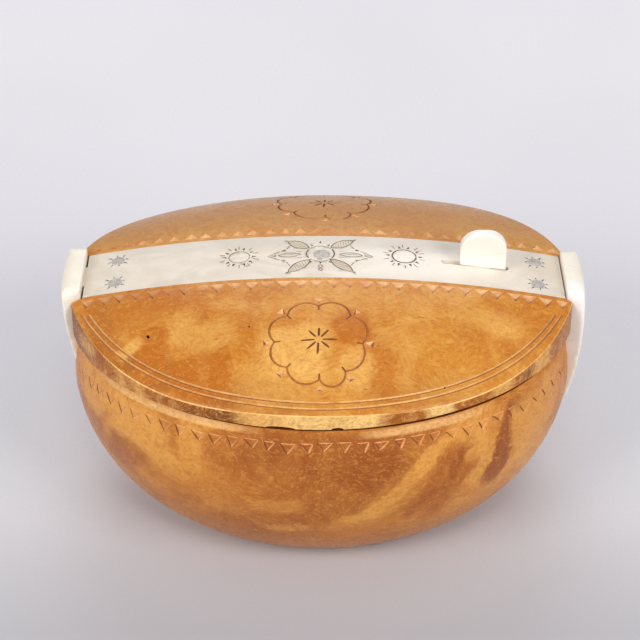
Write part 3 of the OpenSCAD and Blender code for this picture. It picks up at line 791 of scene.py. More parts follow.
def chip_cut(bm, place, width, length, depth, slant=0.0, painted_lit_base=True):
    """A three-cornered chip whose facets run down to a point, the pale finish given first. The pale finish
    is painted light on the facets that face the front, the dark one painted shade on the others; the flag
    says whether the base facet is the lit one.
    """
    lift = 0.05 * MM
    top = 1.6 * MM
    outline = [(-width / 2, 0.0), (width / 2, 0.0), (slant, length)]
    corners = prism(bm, outline, lift, top)
    left, right, tip = corners[:3]
    foot = next(f for f in tip.link_faces if left in f.verts and right in f.verts)
    poked = bmesh.ops.poke(bm, faces=[foot])
    deep = poked["verts"][0]
    deep.co = (0.35 * slant, (0.6 if painted_lit_base else 0.35) * length, -depth)
    for face in poked["faces"]:
        at_base = left in face.verts and right in face.verts
        face.material_index = 0 if at_base == painted_lit_base else 1
    bmesh.ops.transform(bm, matrix=place, verts=corners + [deep])


def finish_piece(piece, body, stands_for, sharp=32):
    """Shades a piece, lets it ride on its body and hides the imported piece it stands for."""
    piece.data.shade_smooth()
    piece.data.set_sharp_from_angle(angle=math.radians(sharp))
    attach(piece, body)
    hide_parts(stands_for)


def on_lid(x, y):
    return Vector((x, y, lid_top(x, y)))


def lid_frame(x, y, toward):
    """A frame on the lid's face at a place, with its second axis leaning the given way."""
    along_x = (on_lid(x + STEP, y) - on_lid(x - STEP, y)).normalized()
    along_y = (on_lid(x, y + STEP) - on_lid(x, y - STEP)).normalized()
    up = along_x.cross(along_y).normalized()
    second = along_x * math.cos(toward) + along_y * math.sin(toward)
    second = (second - up * second.dot(up)).normalized()
    first = second.cross(up)
    axes = Matrix((first, second, up)).transposed().to_4x4()
    return Matrix.Translation(on_lid(x, y)) @ axes


# The lid

LID_COLUMNS = 232
LID_ROWS = 184
EDGE_TURNS = 4


def lid_blank():
    """The lid's solid: a fine grid drawn out to the oval, with its edge rounded and its foot closed."""
    bm = bmesh.new()
    bmesh.ops.create_grid(bm, x_segments=LID_COLUMNS, y_segments=LID_ROWS, size=1.0)
    half_a = lid_a - EDGE_ROUND
    half_b = lid_b - EDGE_ROUND
    for vert in bm.verts:
        a, b = vert.co.x, vert.co.y
        x = half_a * a * math.sqrt(1 - b * b / 2)
        y = half_b * b * math.sqrt(1 - a * a / 2)
        vert.co = on_lid(x, y)
    rim = [e for e in bm.edges if e.is_boundary]
    for k in range(1, EDGE_TURNS + 2):
        grown = bmesh.ops.extrude_edge_only(bm, edges=rim)["geom"]
        rim = [g for g in grown if isinstance(g, bmesh.types.BMEdge) and g.is_boundary]
        for face in [g for g in grown if isinstance(g, bmesh.types.BMFace)]:
            # One band of the edge's rounding takes the arris finish, a painted highlight; the faces below
            # it take the edge's wood
            face.material_index = 0 if k < EDGE_TURNS - 1 else 1 if k < EDGE_TURNS else 2
        turn = math.radians(90 * min(k, EDGE_TURNS) / EDGE_TURNS)
        next_a = lid_a - EDGE_ROUND * (1 - math.sin(turn))
        next_b = lid_b - EDGE_ROUND * (1 - math.sin(turn))
        drop = EDGE_ROUND * (1 - math.cos(turn))
        for vert in {v for e in rim for v in e.verts}:
            x = vert.co.x * next_a / half_a
            y = vert.co.y * next_b / half_b
            height = lid_top(x, y) - drop if k <= EDGE_TURNS else lid_z
            vert.co = (x, y, height)
        half_a, half_b = next_a, next_b
    bmesh.ops.contextual_create(bm, geom=rim)
    return settle(bm, "carved_lid", lid_wood, arris_painted_highlight, edge_wood)


def post_outline(inner, side, gap):
    """Plan of a post's notch at the right end, wider towards the outside."""
    half = POST_WIDTH / 2 + side
    near = inner - gap
    away = inner + POST_THICKNESS + OVERCUT
    grow = POST_FLARE * (away - inner) / POST_THICKNESS
    back = POST_FLARE * gap / POST_THICKNESS
    return [(near, back - half), (away, -half - grow), (away, half + grow), (near, half - back)]


def mirrored(outline):
    return [(-x, y) for x, y in reversed(outline)]


def band_channel():
    """The arched channel that the band lies in, open upwards."""
    bm = bmesh.new()
    half = band_width / 2 + GLUE_GAP
    low = arch_z + (arch_r - BAND_THICKNESS - GLUE_GAP)
    high = arch_z + (arch_r + OVERCUT)
    corners = ((-half, low), (half, low), (half, high), (-half, high))
    section = [bm.verts.new((0, y, z)) for y, z in corners]
    face = bm.faces.new(section)
    start = math.asin((left_face + LEFT_GAP) / arch_r)
    end = math.asin((right_face - RIGHT_GAP / 2) / arch_r)
    hub = (0, 0, arch_z)
    bmesh.ops.rotate(bm, cent=hub, matrix=Matrix.Rotation(start, 3, "Y"), verts=section)
    bmesh.ops.spin(bm, geom=[face], cent=hub, axis=(0, 1, 0), angle=end - start, steps=120)
    return settle(bm, "band_channel", inner_wood)


def bolt_channel():
    """The sloping way under the band that the bolt slides in."""
    sizes = bolt_high - bolt_low
    bm = bmesh.new()
    block(bm, (sizes.x + WAY_LONGER, sizes.y + WAY_WIDER, WAY_DEPTH))
    tilt = Matrix.Rotation(math.atan2(-slide_axis.z, slide_axis.x), 3, "Y")
    bmesh.ops.rotate(bm, cent=(0, 0, 0), matrix=tilt, verts=bm.verts)
    place = (bolt_low + bolt_high) / 2 + slide_axis * WAY_AHEAD + Vector((0, 0, WAY_LIFT))
    bmesh.ops.translate(bm, vec=place, verts=bm.verts)
    return settle(bm, "bolt_channel", inner_wood)


def lid_hollow():
    """The ball that dishes the lid's underside."""
    ball = (HOLLOW_RADIUS ** 2 + HOLLOW_DEPTH ** 2) / (2 * HOLLOW_DEPTH)
    bm = bmesh.new()
    bmesh.ops.create_uvsphere(bm, u_segments=192, v_segments=120, radius=ball)
    bmesh.ops.translate(bm, vec=(0, 0, lid_z + HOLLOW_DEPTH - ball), verts=bm.verts)
    return settle(bm, "lid_hollow", inner_wood)


def post_notches():
    """Notches in the lid's two ends that the posts stand in."""
    bm = bmesh.new()
    low = rim_z - OVERCUT
    high = crown_z + OVERCUT
    prism(bm, post_outline(right_face, EAR_GAP, RIGHT_GAP), low, high)
    prism(bm, mirrored(post_outline(-left_face, EAR_GAP, LEFT_GAP)), low, high)
    return settle(bm, "post_notches", lid_wood)


BLOCK_SIDE = 200 * MM


def sloped_block(name, way, slope, start, material):
    """A big block under the lid, to one side of a place, whose upper face climbs from there."""
    bm = bmesh.new()
    block(bm, (BLOCK_SIDE, BLOCK_SIDE, BLOCK_SIDE))
    bmesh.ops.translate(bm, vec=(way * BLOCK_SIDE / 2, 0, -BLOCK_SIDE / 2), verts=bm.verts)
    tilt = Matrix.Rotation(-way * math.atan(slope), 3, "Y")
    bmesh.ops.rotate(bm, cent=(0, 0, 0), matrix=tilt, verts=bm.verts)
    bmesh.ops.translate(bm, vec=(start, 0, lid_z), verts=bm.verts)
    return settle(bm, name, material)


def foot_pockets():
    """Two small open places under the lid's front edge."""
    bm = bmesh.new()
    for x, half in FOOT_POCKETS:
        sizes = Matrix.Diagonal((half, POCKET_DEPTH, POCKET_HEIGHT, 1))
        place = Matrix.Translation((x, -lid_b, lid_z)) @ sizes
        bmesh.ops.create_uvsphere(bm, u_segments=32, v_segments=16, radius=1.0, matrix=place)
    return settle(bm, "foot_pockets", edge_wood)


def flange_ring():
    """The oval ring under the lid that drops into the bowl's mouth."""
    bm = bmesh.new()
    long = mouth_half - FLANGE_GAP
    wide = mouth_half * squeeze - FLANGE_GAP
    inner = long - FLANGE_THICKNESS
    low = rim_z - FLANGE_DEPTH
    high = lid_z + FLANGE_ROOT
    corners = ((long, low), (inner, low), (inner, high), (long, high))
    section = [bm.verts.new((x, 0, z)) for x, z in corners]
    loop = [bm.edges.new((section[i], section[(i + 1) % 4])) for i in range(4)]
    spin_round(bm, section + loop, 192)
    bmesh.ops.scale(bm, vec=(1, wide / long, 1), verts=bm.verts)
    return settle(bm, "lid_flange", inner_wood)


# Carving on the lid

CHIP_PITCH = 4.73 * MM
CHIP_START = -1.4 * MM
CHIP_BASE = 1.5 * MM
CHIP_LENGTH = 3.9 * MM
CHIP_WIDTH = 4.6 * MM
CHIP_DEPTH = 1.1 * MM
CHIP_COUNT = 14
BACK_CHIP_SHARE = 0.8


def chip_row(side, start):
    """Every second chip of the row along one side of the band, a little uneven as hand work is."""
    bm = bmesh.new()
    y = side * (band_width / 2 + CHIP_BASE)
    for k in range(start - CHIP_COUNT, CHIP_COUNT + 2, 2):
        x = CHIP_START + CHIP_PITCH * k + 0.2 * MM * math.sin(2.3 * k + side)
        share = 1.0 if side < 0 else BACK_CHIP_SHARE
        width = share * CHIP_WIDTH * (1 + (0.06 if side < 0 else 0.14) * math.sin(1.7 * k + 2 * side))
        length = share * CHIP_LENGTH * (1 + 0.1 * math.sin(2.9 * k))
        place = lid_frame(x, y, math.radians(90 * side))
        slant = 0.4 * MM * math.sin(3.1 * k)
        # In the front row the base facet faces the front and takes the pale painted light; in the back row
        # the side facets do
        chip_cut(bm, place, width, length, CHIP_DEPTH, slant, side < 0)
    return settle(bm, "chip_row", chip_wood, chip_painted_shade)


GROOVE_A = 73.2 * MM
GROOVE_B = 56.05 * MM
GROOVE_POWER = 1.87
GROOVE_STEP = 0.78 * MM
GROOVE_HALF = 0.48 * MM
GROOVE_END = 17.8 * MM
GROOVE_LIFT = 0.12 * MM
GROOVE_POINTS = 160


def edge_groove(shift):
    """One line of the double groove inside the lid's front edge, from ear to ear."""
    half_a = GROOVE_A + shift
    half_b = GROOVE_B + shift
    path = []
    for i in range(GROOVE_POINTS + 1):
        turn = math.pi * i / GROOVE_POINTS
        c, s = math.cos(turn), math.sin(turn)
        x = half_a * math.copysign(abs(c) ** (2 / GROOVE_POWER), c)
        y = -half_b * abs(s) ** (2 / GROOVE_POWER)
        if abs(y) > GROOVE_END:
            path.append((on_lid(x, y) + Vector((0, 0, GROOVE_LIFT)), GROOVE_HALF))
    return path


ROSETTES = [
    ((-0.9 * MM, -36.7 * MM), 12.2 * MM),
    ((0.9 * MM, 36.6 * MM), 13.0 * MM),
]
LOBES = 8
CUSP_LEANS = [0, 1, 2, -1, 1, -8, -5, -2]
CUSPS = [(centre, radius, k) for centre, radius in ROSETTES for k in range(LOBES)]
LOBE_BULGE = 3.0 * MM
LOBE_STEPS = 22
LINE_HALF = 0.32 * MM
SPOKE_START = 1.1 * MM
SPOKE_LENGTHS = [5.2, 4.2, 3.9, 4.0, 4.9, 4.4, 4.7, 4.0]
SPOKE_HALF = 0.36 * MM
TICK_INNER = 1.6 * MM
TICK_OUTER = 0.5 * MM
TICK_HALF = 0.3 * MM
CUSP_CHIP_REACH = 3.3 * MM
CUSP_CHIP_DEPTH = 0.55 * MM


def cusp_turn(k):
    """Which way a rosette's cusp lies from its centre."""
    return math.radians(90 + 360 * k / LOBES + CUSP_LEANS[k % LOBES])


def lobe_arc(centre, radius, k):
    """One bulging lobe of a rosette, between two cusps."""
    turn = cusp_turn(k)
    nxt = cusp_turn(k + 1)
    first = Vector((math.cos(turn), math.sin(turn))) * radius
    last = Vector((math.cos(nxt), math.sin(nxt))) * radius
    middle = (first + last) / 2
    half = (last - first).length / 2
    bow = LOBE_BULGE * (1 + 0.1 * math.sin(2.1 * k))
    arc_radius = (half ** 2 + bow ** 2) / (2 * bow)
    out = middle.normalized()
    hub = middle + out * (bow - arc_radius)
    sweep = math.asin(min(1.0, half / arc_radius))
    if bow > arc_radius:
        sweep = math.pi - sweep
    lean = math.atan2(out.y, out.x)
    start = math.degrees(lean - sweep)
    end = math.degrees(lean + sweep)
    path = []
    points = arc_points(centre[0] + hub.x, centre[1] + hub.y, arc_radius, start, end, LOBE_STEPS)
    for i, (x, y) in enumerate(points):
        path.append((on_lid(x, y), LINE_HALF * (0.8 + 0.35 * math.sin(math.pi * i / LOBE_STEPS))))
    return path


def spoke(centre, turn, start, end, half):
    """A cut that runs out from a centre, fine at both ends."""
    def half_at(share):
        return half * (0.25 + 0.75 * math.sin(math.pi * (0.15 + 0.7 * share)))

    return stroke(on_lid, outward(centre, turn, start), outward(centre, turn, end), half_at, 8)


def rosette_spokes():
    """The star of spokes in the middle of each rosette."""
    paths = []
    for centre, _, k in CUSPS:
        turn = math.radians(360 * k / LOBES + 4 * math.sin(1.9 * k))
        paths.append(spoke(centre, turn, SPOKE_START, SPOKE_LENGTHS[k] * MM, SPOKE_HALF))
    return tube_tool("rosette_spokes", paths, scored_wood)


def cusp_chips():
    """Small chips set outside a rosette's cusps, pointing in."""
    bm = bmesh.new()
    for centre, radius, k in CUSPS:
        turn = cusp_turn(k)
        place = lid_frame(*outward(centre, turn, radius + CUSP_CHIP_REACH), turn + math.pi)
        wide = (2.5 + 0.5 * math.sin(2.4 * k)) * MM
        long = (2.3 + 0.4 * math.sin(1.3 * k)) * MM
        slant = 0.4 * MM * math.sin(3.3 * k)
        # The pale painted light goes on the facets that face the front
        chip_cut(bm, place, wide, long, CUSP_CHIP_DEPTH, slant, math.sin(turn) > 0)
    return settle(bm, "cusp_chips", chip_wood, chip_painted_shade)


WORM_HOLES = [((-49.1, -30.1), 0.52), ((-20.4, -31.3), 0.26), ((34.1, -47.6), 0.26)]
WORM_TURN = math.radians(120)
WORM_DEPTH = 4 * MM


def worm_holes():
    bm = bmesh.new()
    for (x, y), half in WORM_HOLES:
        hole = lid_frame(x * MM, y * MM, WORM_TURN) @ Matrix.Diagonal((0.8, 1.25, 1, 1))
        round_hole = {"segments": 14, "radius1": half * MM, "radius2": half * MM, "depth": WORM_DEPTH}
        bmesh.ops.create_cone(bm, cap_ends=True, matrix=hole, **round_hole)
    return settle(bm, "worm_holes", bored_wood)


def carve_lid():
    lid = lid_blank()
    work(lid, sloped_block("foot_slope", 1, FOOT_SLOPE, FOOT_START, edge_wood))
    work(lid, foot_pockets())
    work(lid, flange_ring(), "UNION")
    work(lid, lid_hollow())
    work(lid, post_notches())
    work(lid, sloped_block("ear_relief", -1, RELIEF_SLOPE, hinge.x + RELIEF_START, lid_wood))
    work(lid, band_channel())
    work(lid, bolt_channel())
    for side in (-1, 1):
        for start in (0, 1):
            work(lid, chip_row(side, start))
    grooves = [edge_groove(shift) for shift in (-GROOVE_STEP, GROOVE_STEP)]
    work(lid, tube_tool("edge_grooves", grooves, groove_wood, groove_painted_highlight))
    for start in (0, 1):
        arcs = [lobe_arc(c, r, k) for c, r, k in CUSPS if k % 2 == start]
        work(lid, tube_tool("rosette_lobes", arcs, rosette_wood, rosette_painted_highlight))
    work(lid, rosette_spokes())
    ticks = [spoke(c, cusp_turn(k), r - TICK_INNER, r + TICK_OUTER, TICK_HALF) for c, r, k in CUSPS]
    work(lid, tube_tool("cusp_ticks", ticks, rosette_wood))
    work(lid, cusp_chips())
    work(lid, worm_holes())
    finish_piece(lid, "lid", "lid")


# The bowl

def bowl_face(z):
    """How far out the bowl's long side lies at a height."""
    return side_x + math.sqrt(BELLY_RADIUS ** 2 - (z - BELLY_HEIGHT) ** 2)


# How far down from the rim the painted shade of the seam reaches
SEAM_SHADE_DEPTH = 0.95 * MM
LIP_CUT = 0.6 * MM
LIP_DROP = 0.9 * MM
BOWL_STEPS = 288


def wall_arc(radius, start, end, steps):
    return arc_points(side_x, BELLY_HEIGHT, radius, math.degrees(start), math.degrees(end), steps)


def bowl_blank():
    """The bowl's wall, spun from its section and squeezed to the oval."""
    foot = bowl_face(0)
    low = math.atan2(1.2 * FOOT_ROUND - BELLY_HEIGHT, bowl_face(1.2 * FOOT_ROUND) - side_x)
    high = math.asin((rim_over_belly - RIM_ROUND) / BELLY_RADIUS)
    top = math.asin((rim_over_belly - LIP_DROP) / hollow_radius)
    bottom = math.asin((FLOOR - BELLY_HEIGHT) / hollow_radius)
    section = [(0, 0), (foot - 2 * FOOT_ROUND, 0), (foot - 0.7 * FOOT_ROUND, 0.12 * FOOT_ROUND)]
    section += wall_arc(BELLY_RADIUS, low, high, 56)
    section += arc_points(rim_half - RIM_ROUND, rim_z - RIM_ROUND, RIM_ROUND, 0, 90, 5)[1:]
    section += [(mouth_half + LIP_CUT, rim_z), (mouth_half, rim_z - LIP_CUT)]
    section += wall_arc(hollow_radius, top, bottom, 24)
    section.append((0, FLOOR))
    bm = bmesh.new()
    verts = [bm.verts.new((x, 0, z)) for x, z in section]
    edges = [bm.edges.new(pair) for pair in zip(verts, verts[1:])]
    spin_round(bm, verts + edges, BOWL_STEPS)
    bmesh.ops.scale(bm, vec=(1, squeeze, 1), verts=bm.verts)
    # The outer band just under the rim takes the painted shade of the seam; the flat top of the rim takes
    # the lip's wood
    for face in bm.faces:
        centre = face.calc_center_median()
        outside = math.hypot(centre.x, centre.y / squeeze) > rim_half - RIM_ROUND
        if centre.z > rim_z - HAIR:
            face.material_index = 2
        elif outside and centre.z > rim_z - SEAM_SHADE_DEPTH:
            face.material_index = 1
    return settle(bm, "carved_bowl", bowl_wood, rim_painted_shade, lip_wood)


FOOT_CLOSE = 0.25 * MM
FOOT_LIFT = 1.6 * MM


def post_grooves():
    """Grooves for the posts in the bowl's ends, closer at the left, where the post's foot lies deeper."""
    bm = bmesh.new()
    low = left_low.z - GLUE_GAP
    high = rim_z + OVERCUT
    prism(bm, post_outline(right_face, GLUE_GAP, GLUE_GAP), low, high)
    near = -left_face - GLUE_GAP
    away = near + POST_THICKNESS + OVERCUT
    left_groove = mirrored(oblong(near, away, POST_WIDTH / 2 + FOOT_CLOSE))
    prism(bm, left_groove, low + FOOT_LIFT, high)
    # The grooves' walls take a dark matte finish, painted shade
    return settle(bm, "post_grooves", pocket_painted_shade)


ZIGZAG_TOP = 56.7 * MM
ZIGZAG_DIP = 2.5 * MM
ZIGZAG_LENGTH = 3.0 * MM
ZIGZAG_WIDTH = 3.7 * MM
ZIGZAG_PITCH = 5.2 * MM
ZIGZAG_HALF = 0.36 * MM
ZIGZAG_CLEAR = 17 * MM


def bowl_frame(turn, z):
    """A frame on the bowl's side, with its second axis running down the wall."""
    tick = 0.001

    def spot(t, h):
        reach = bowl_face(h)
        return Vector((reach * math.cos(t), squeeze * reach * math.sin(t), h))

    down = (spot(turn, z - STEP) - spot(turn, z + STEP)).normalized()
    around = (spot(turn + tick, z) - spot(turn - tick, z)).normalized()
    out = down.cross(around)
    if out.x * math.cos(turn) + out.y * math.sin(turn) < 0:
        out = -out
    axes = Matrix((down.cross(out), down, out)).transposed().to_4x4()
    return Matrix.Translation(spot(turn, z)) @ axes


def zigzag_places():
    """Frames an even step apart round the bowl under the lid, save at the posts."""
    reach = bowl_face(ZIGZAG_TOP)
    turn = 0.0
    places = []
    while turn < math.tau:
        across = reach * math.sin(turn)
        along = squeeze * reach * math.cos(turn)
        turn += ZIGZAG_PITCH / math.hypot(across, along)
        if abs(squeeze * reach * math.sin(turn)) > ZIGZAG_CLEAR:
            waver = 0.3 * MM * math.sin(1.3 * len(places))
            places.append(bowl_frame(turn, ZIGZAG_TOP - ZIGZAG_DIP * math.cos(turn) ** 2 + waver))
    return places


def notch_stroke(place, first, last, half):
    """A tapering stroke on the bowl between two places of a frame."""
    def spot(x, y):
        return place @ Vector((x, y, 0))

    def half_at(share):
        return half * (0.3 + 0.7 * math.sin(math.pi * (0.1 + 0.75 * share)))

    return stroke(spot, first, last, half_at, 5)


def zigzag():
    """The three sides of each small triangle under the rim, as sets of strokes that keep apart."""
    down, up, top = [], [], []
    for k, place in enumerate(zigzag_places()):
        half = ZIGZAG_WIDTH / 2 * (1 + 0.16 * math.sin(2.7 * k))
        long = ZIGZAG_LENGTH * (1 + 0.14 * math.sin(1.9 * k))
        tip = (0.6 * MM * math.sin(2.2 * k), long)
        deep = ZIGZAG_HALF * (1 + 0.2 * math.sin(1.1 * k))
        down.append(notch_stroke(place, (-half, 0), tip, deep))
        up.append(notch_stroke(place, (half, 0), tip, 0.8 * deep))
        top.append(notch_stroke(place, (-half, 0), (half, 0), 0.55 * deep))
    return down, up, top


def carve_bowl():
    bowl = bowl_blank()
    work(bowl, post_grooves())
    # Walls of the small triangles are pale or dark by which way they face and which stroke they lie in:
    # painted light and shade over the cut's pale tone
    other_walls = (chip_painted_shade, notch_wood, notch_wood)
    front_walls = (notch_wood, chip_painted_shade, notch_wood)
    for strokes, other, front in zip(zigzag(), other_walls, front_walls):
        work(bowl, tube_tool("zigzag", strokes, other, front))
    finish_piece(bowl, "box", "bowl")


# Engraving on the band, drawn in millimetres on its upper face

def on_band(x, y):
    return Vector((x * MM, y * MM, arch_top(x * MM)))


def drawn(points, half):
    """A line of even width along points on the band."""
    return [(on_band(x, y), half * MM) for x, y in points]


def tapered(first, last, wide, fine):
    """A short straight cut, broad at one end and fine at the other."""
    return stroke(on_band, first, last, lambda share: (wide + (fine - wide) * share) * MM, 4)


def ray(centre, turn, near, away, wide, fine):
    """A tapering cut that points away from a centre."""
    return tapered(outward(centre, turn, near), outward(centre, turn, away), wide, fine)


def bowed(first, last, bow, steps=12):
    """Points on a bow between two places, bulging to the left of the way."""
    dx, dy = last[0] - first[0], last[1] - first[1]
    length = math.hypot(dx, dy)
    points = []
    for i in range(steps + 1):
        share = i / steps
        lift = bow * math.sin(math.pi * share) ** 0.8 if 0 < share < 1 else 0.0
        x = first[0] + dx * share - dy / length * lift
        y = first[1] + dy * share + dx / length * lift
        points.append((x, y))
    return points


SUNS = [(-24.2, 0.85, 3.05, 0.12), (24.2, 1.3, 3.5, 0.22)]
SUN_RAYS = 20


def sun(x, y, radius, line):
    """Ring and rays of a small sun: long ticks, and dark points between them."""
    ring = drawn(arc_points(x, y, radius, 3, 357, 40), line)
    cuts = []
    for k in range(SUN_RAYS):
        turn = math.radians(360 * (k + 0.2 * math.sin(1.7 * k)) / SUN_RAYS)
        near, away, wide, fine = (1.3, 2.9, 0.14, 0.09) if k % 2 else (0.75, 2.0, 0.46, 0.08)
        cuts.append(ray((x, y), turn, radius + near, radius + away, wide, fine))
    return ring, cuts


FLOWER_X = -0.4
LEAF_BELLY = 1.65
LEAVES = [
    ((-3.3, 4.6), (-9.6, 8.3)),
    ((3.1, 4.8), (9.8, 8.8)),
    ((-3.0, -1.7), (-9.3, -8.2)),
    ((3.0, -1.4), (9.4, -8.0)),
]
FLOWER_LEAVES = [((a + FLOWER_X, b), (c + FLOWER_X, d)) for (a, b), (c, d) in LEAVES]


def leaf_washes():
    """Shallow beds of the four leaves, where a thin wash lies."""
    bm = bmesh.new()
    bed = 0.03 * MM
    above = 0.6 * MM
    for root, tip in FLOWER_LEAVES:
        outline = bowed(root, tip, LEAF_BELLY)[:-1] + bowed(tip, root, LEAF_BELLY)[:-1]
        corners = prism(bm, [(x * MM, y * MM) for x, y in outline], -bed, above)
        for vert in corners:
            vert.co.z += arch_top(vert.co.x)
    return settle(bm, "leaf_washes", leaf_wash)


def hatch_lines(root, tip):
    """Fine slanting strokes inside a leaf."""
    strokes = []
    dx, dy = tip[0] - root[0], tip[1] - root[1]
    length = math.hypot(dx, dy)
    count = 9
    for i in range(1, count):
        share = i / count
        half = 0.66 * LEAF_BELLY * math.sin(math.pi * share) ** 0.8
        x = root[0] + dx * share
        y = root[1] + dy * share
        reach_x = (0.5 * dx - dy) / length * half
        reach_y = (0.5 * dy + dx) / length * half
        strokes.append(tapered((x - reach_x, y - reach_y), (x + reach_x, y + reach_y), 0.07, 0.07))
    return strokes


def beside(way, along, y):
    """A place to the left or right of the flower's middle."""
    return FLOWER_X + way * along, y


def flower_sets():
    """The middle flower: leaves, side arms, ring, dark points and hatching, in sets that keep apart."""
    sides = [[], []]
    hatching = []
    points = []
    for root, tip in FLOWER_LEAVES:
        sides[0].append(drawn(bowed(root, tip, LEAF_BELLY), 0.17))
        sides[1].append(drawn(bowed(tip, root, LEAF_BELLY), 0.17))
        hatching += hatch_lines(root, tip)
        lean = math.atan2(tip[1] - root[1], tip[0] - root[0])
        points.append(ray(tip, lean, 0.2, 1.2, 0.36, 0.06))
    for way in (-1, 1):
        near = beside(way, 5.7, 1.3)
        eye = beside(way, 12.4, 0.7)
        sides[0].append(drawn(bowed(near, eye, 1.05 * way), 0.14))
        sides[1].append(drawn(bowed(eye, near, 1.05 * way), 0.14))
        points.append(tapered(beside(way, 8.0, 1.1), beside(way, 10.8, 0.85), 0.12, 0.08))
        points.append(tapered(beside(way, 13.0, 0.6), beside(way, 14.6, 0.45), 0.34, 0.1))
        for up, knee in ((1, 3.6), (-1, -2.2)):
            first = beside(way, 10.3, knee)
            points.append(tapered(first, beside(way, 11.5, knee - 0.5 * up), 0.42, 0.1))
            arm = tapered(beside(way, 11.8, knee - 0.65 * up), beside(way, 15.4, 0.4), 0.12, 0.12)
            sides[(up + 1) // 2].append(arm)
            brow = beside(way, 8.9, knee + 2.6 * up)
            hatching.append(tapered(beside(way, 10.0, knee + 0.5 * up), brow, 0.11, 0.11))
            dash = beside(way, 7.1, 1.2 + 1.85 * up)
            hatching.append(tapered(beside(way, 5.4, 1.2 + 1.5 * up), dash, 0.1, 0.06))
    arcs = [drawn(arc_points(FLOWER_X, 1.5, 4.1, a - 34, a + 34, 14), 0.2) for a in (0, 180)]
    hatching += [drawn(arc_points(FLOWER_X, 1.5, 4.1, a - 48, a + 48, 18), 0.09) for a in (90, 270)]
    for x, y in ((-2.3, 5.7), (0, 7.2), (2.3, 5.7), (-2.6, -2.6), (0, -2.9), (2.6, -2.6)):
        points.append(ray((FLOWER_X + x, y), math.atan2(y - 1.3, x), 0, 1.1, 0.36, 0.06))
    for y in (-5.2, -6.9):
        for side, way, x in ((0, -1, FLOWER_X), (1, 1, FLOWER_X + 0.1)):
            sides[side].append(drawn([(x, y + 0.8), (x + 0.6 * way, y), (x, y - 0.8)], 0.12))
    return [arcs, sides[0], sides[1], points, hatching]


PIN_HEAD = 2.0
PAIR_PINS = ("left_back_pin", "left_front_pin", "right_back_pin", "right_front_pin")
PEGS = ("left_upper_peg", "left_lower_peg", "right_upper_peg", "right_lower_peg")


def pin_rays():
    """Short strokes round the two pairs of pins."""
    strokes = []
    for name in PAIR_PINS:
        low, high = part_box(name)
        x = math.copysign(max(abs(low.x), abs(high.x)) / MM - PIN_HEAD, low.x)
        y = (low.y + high.y) / 2 / MM
        for k in range(8):
            away = 3.6 if k % 2 else 3.1
            strokes.append(ray((x, y), math.radians(45 * k + 10), 2.3, away, 0.3, 0.08))
    return strokes


BAND_NET = 1.5 * MM


def gridded(piece, step):
    """Cuts a piece's faces into an even net, so that its broad faces shade evenly after engraving."""
    bm = bmesh.new()
    bm.from_mesh(piece.data)
    for axis in (0, 1):
        square = Vector((0, 0, 0))
        square[axis] = 1
        span = band_high[axis] - band_low[axis]
        count = int(span / step)
        for i in range(1, count):
            place = band_low.copy()
            place[axis] += span * i / count
            geom = bm.verts[:] + bm.edges[:] + bm.faces[:]
            bmesh.ops.bisect_plane(bm, geom=geom, dist=MERGE, plane_co=place, plane_no=square)
    bm.to_mesh(piece.data)
    bm.free()


def engrave_band():
    band = copy_of("lid_band", "engraved_band", band_antler)
    gridded(band, BAND_NET)
    work(band, leaf_washes())
    sets = flower_sets()
    rays = []
    for given in SUNS:
        ring, cuts = sun(*given)
        sets[0].append(ring)
        rays += cuts
    for lines in sets + [rays]:
        work(band, tube_tool("engraving", lines, line_pigment))
    work(band, tube_tool("pin_rays", pin_rays(), ray_pigment))
    finish_piece(band, "lid", "lid_band", 28)


# Posts, tab, bolt, pegs and pins

def mortise():
    """Room in the worn right post for the bolt, from its place at rest to its farthest throw."""
    throw = slide_axis * joints["bolt_slide"]["range_m"][1]
    half = (bolt_high.y - bolt_low.y) / 2 + MORTISE_GAP
    outline = oblong(right_face - MORTISE_MOUTH, bolt_high.x + throw.x + MORTISE_GAP, half)
    bm = bmesh.new()
    prism(bm, outline, bolt_low.z + throw.z - MORTISE_GAP, bolt_low.z + BOLT_THICKNESS + MORTISE_GAP)
    return settle(bm, "mortise", post_antler)


POST_WEAR = {"cell": 0.3 * MM, "passes": 26}
TAB_WEAR = {"cell": 0.2 * MM, "passes": 22}
WORN_SHARP = 60


def soften_antler():
    left = softened("left_post", "worn_left_post", post_antler, inner=left_face, **POST_WEAR)
    finish_piece(left, "box", "left_post", WORN_SHARP)
    right = softened("right_post", "worn_right_post", post_antler, inner=right_face, **POST_WEAR)
    work(right, mortise())
    finish_piece(right, "box", "right_post", WORN_SHARP)
    tab = softened("thumb_tab", "worn_thumb_tab", tab_antler, **TAB_WEAR)
    finish_piece(tab, "bolt", "thumb_tab", WORN_SHARP)


def dress_small_pieces():
    """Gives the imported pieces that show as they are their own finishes."""
    for names, material in ((PEGS + ("lock_bolt",), post_antler), (PAIR_PINS + ("middle_pin",), pin_metal)):
        for name in names:
            for slot in frame["nodes"][name].material_slots:
                slot.material = material


# Floor, light and camera

FLOOR_NEAR = -100 * MM
FLOOR_FAR = 360 * MM
FLOOR_RADIUS = 4.0
FLOOR_DROP = 0.02 * MM


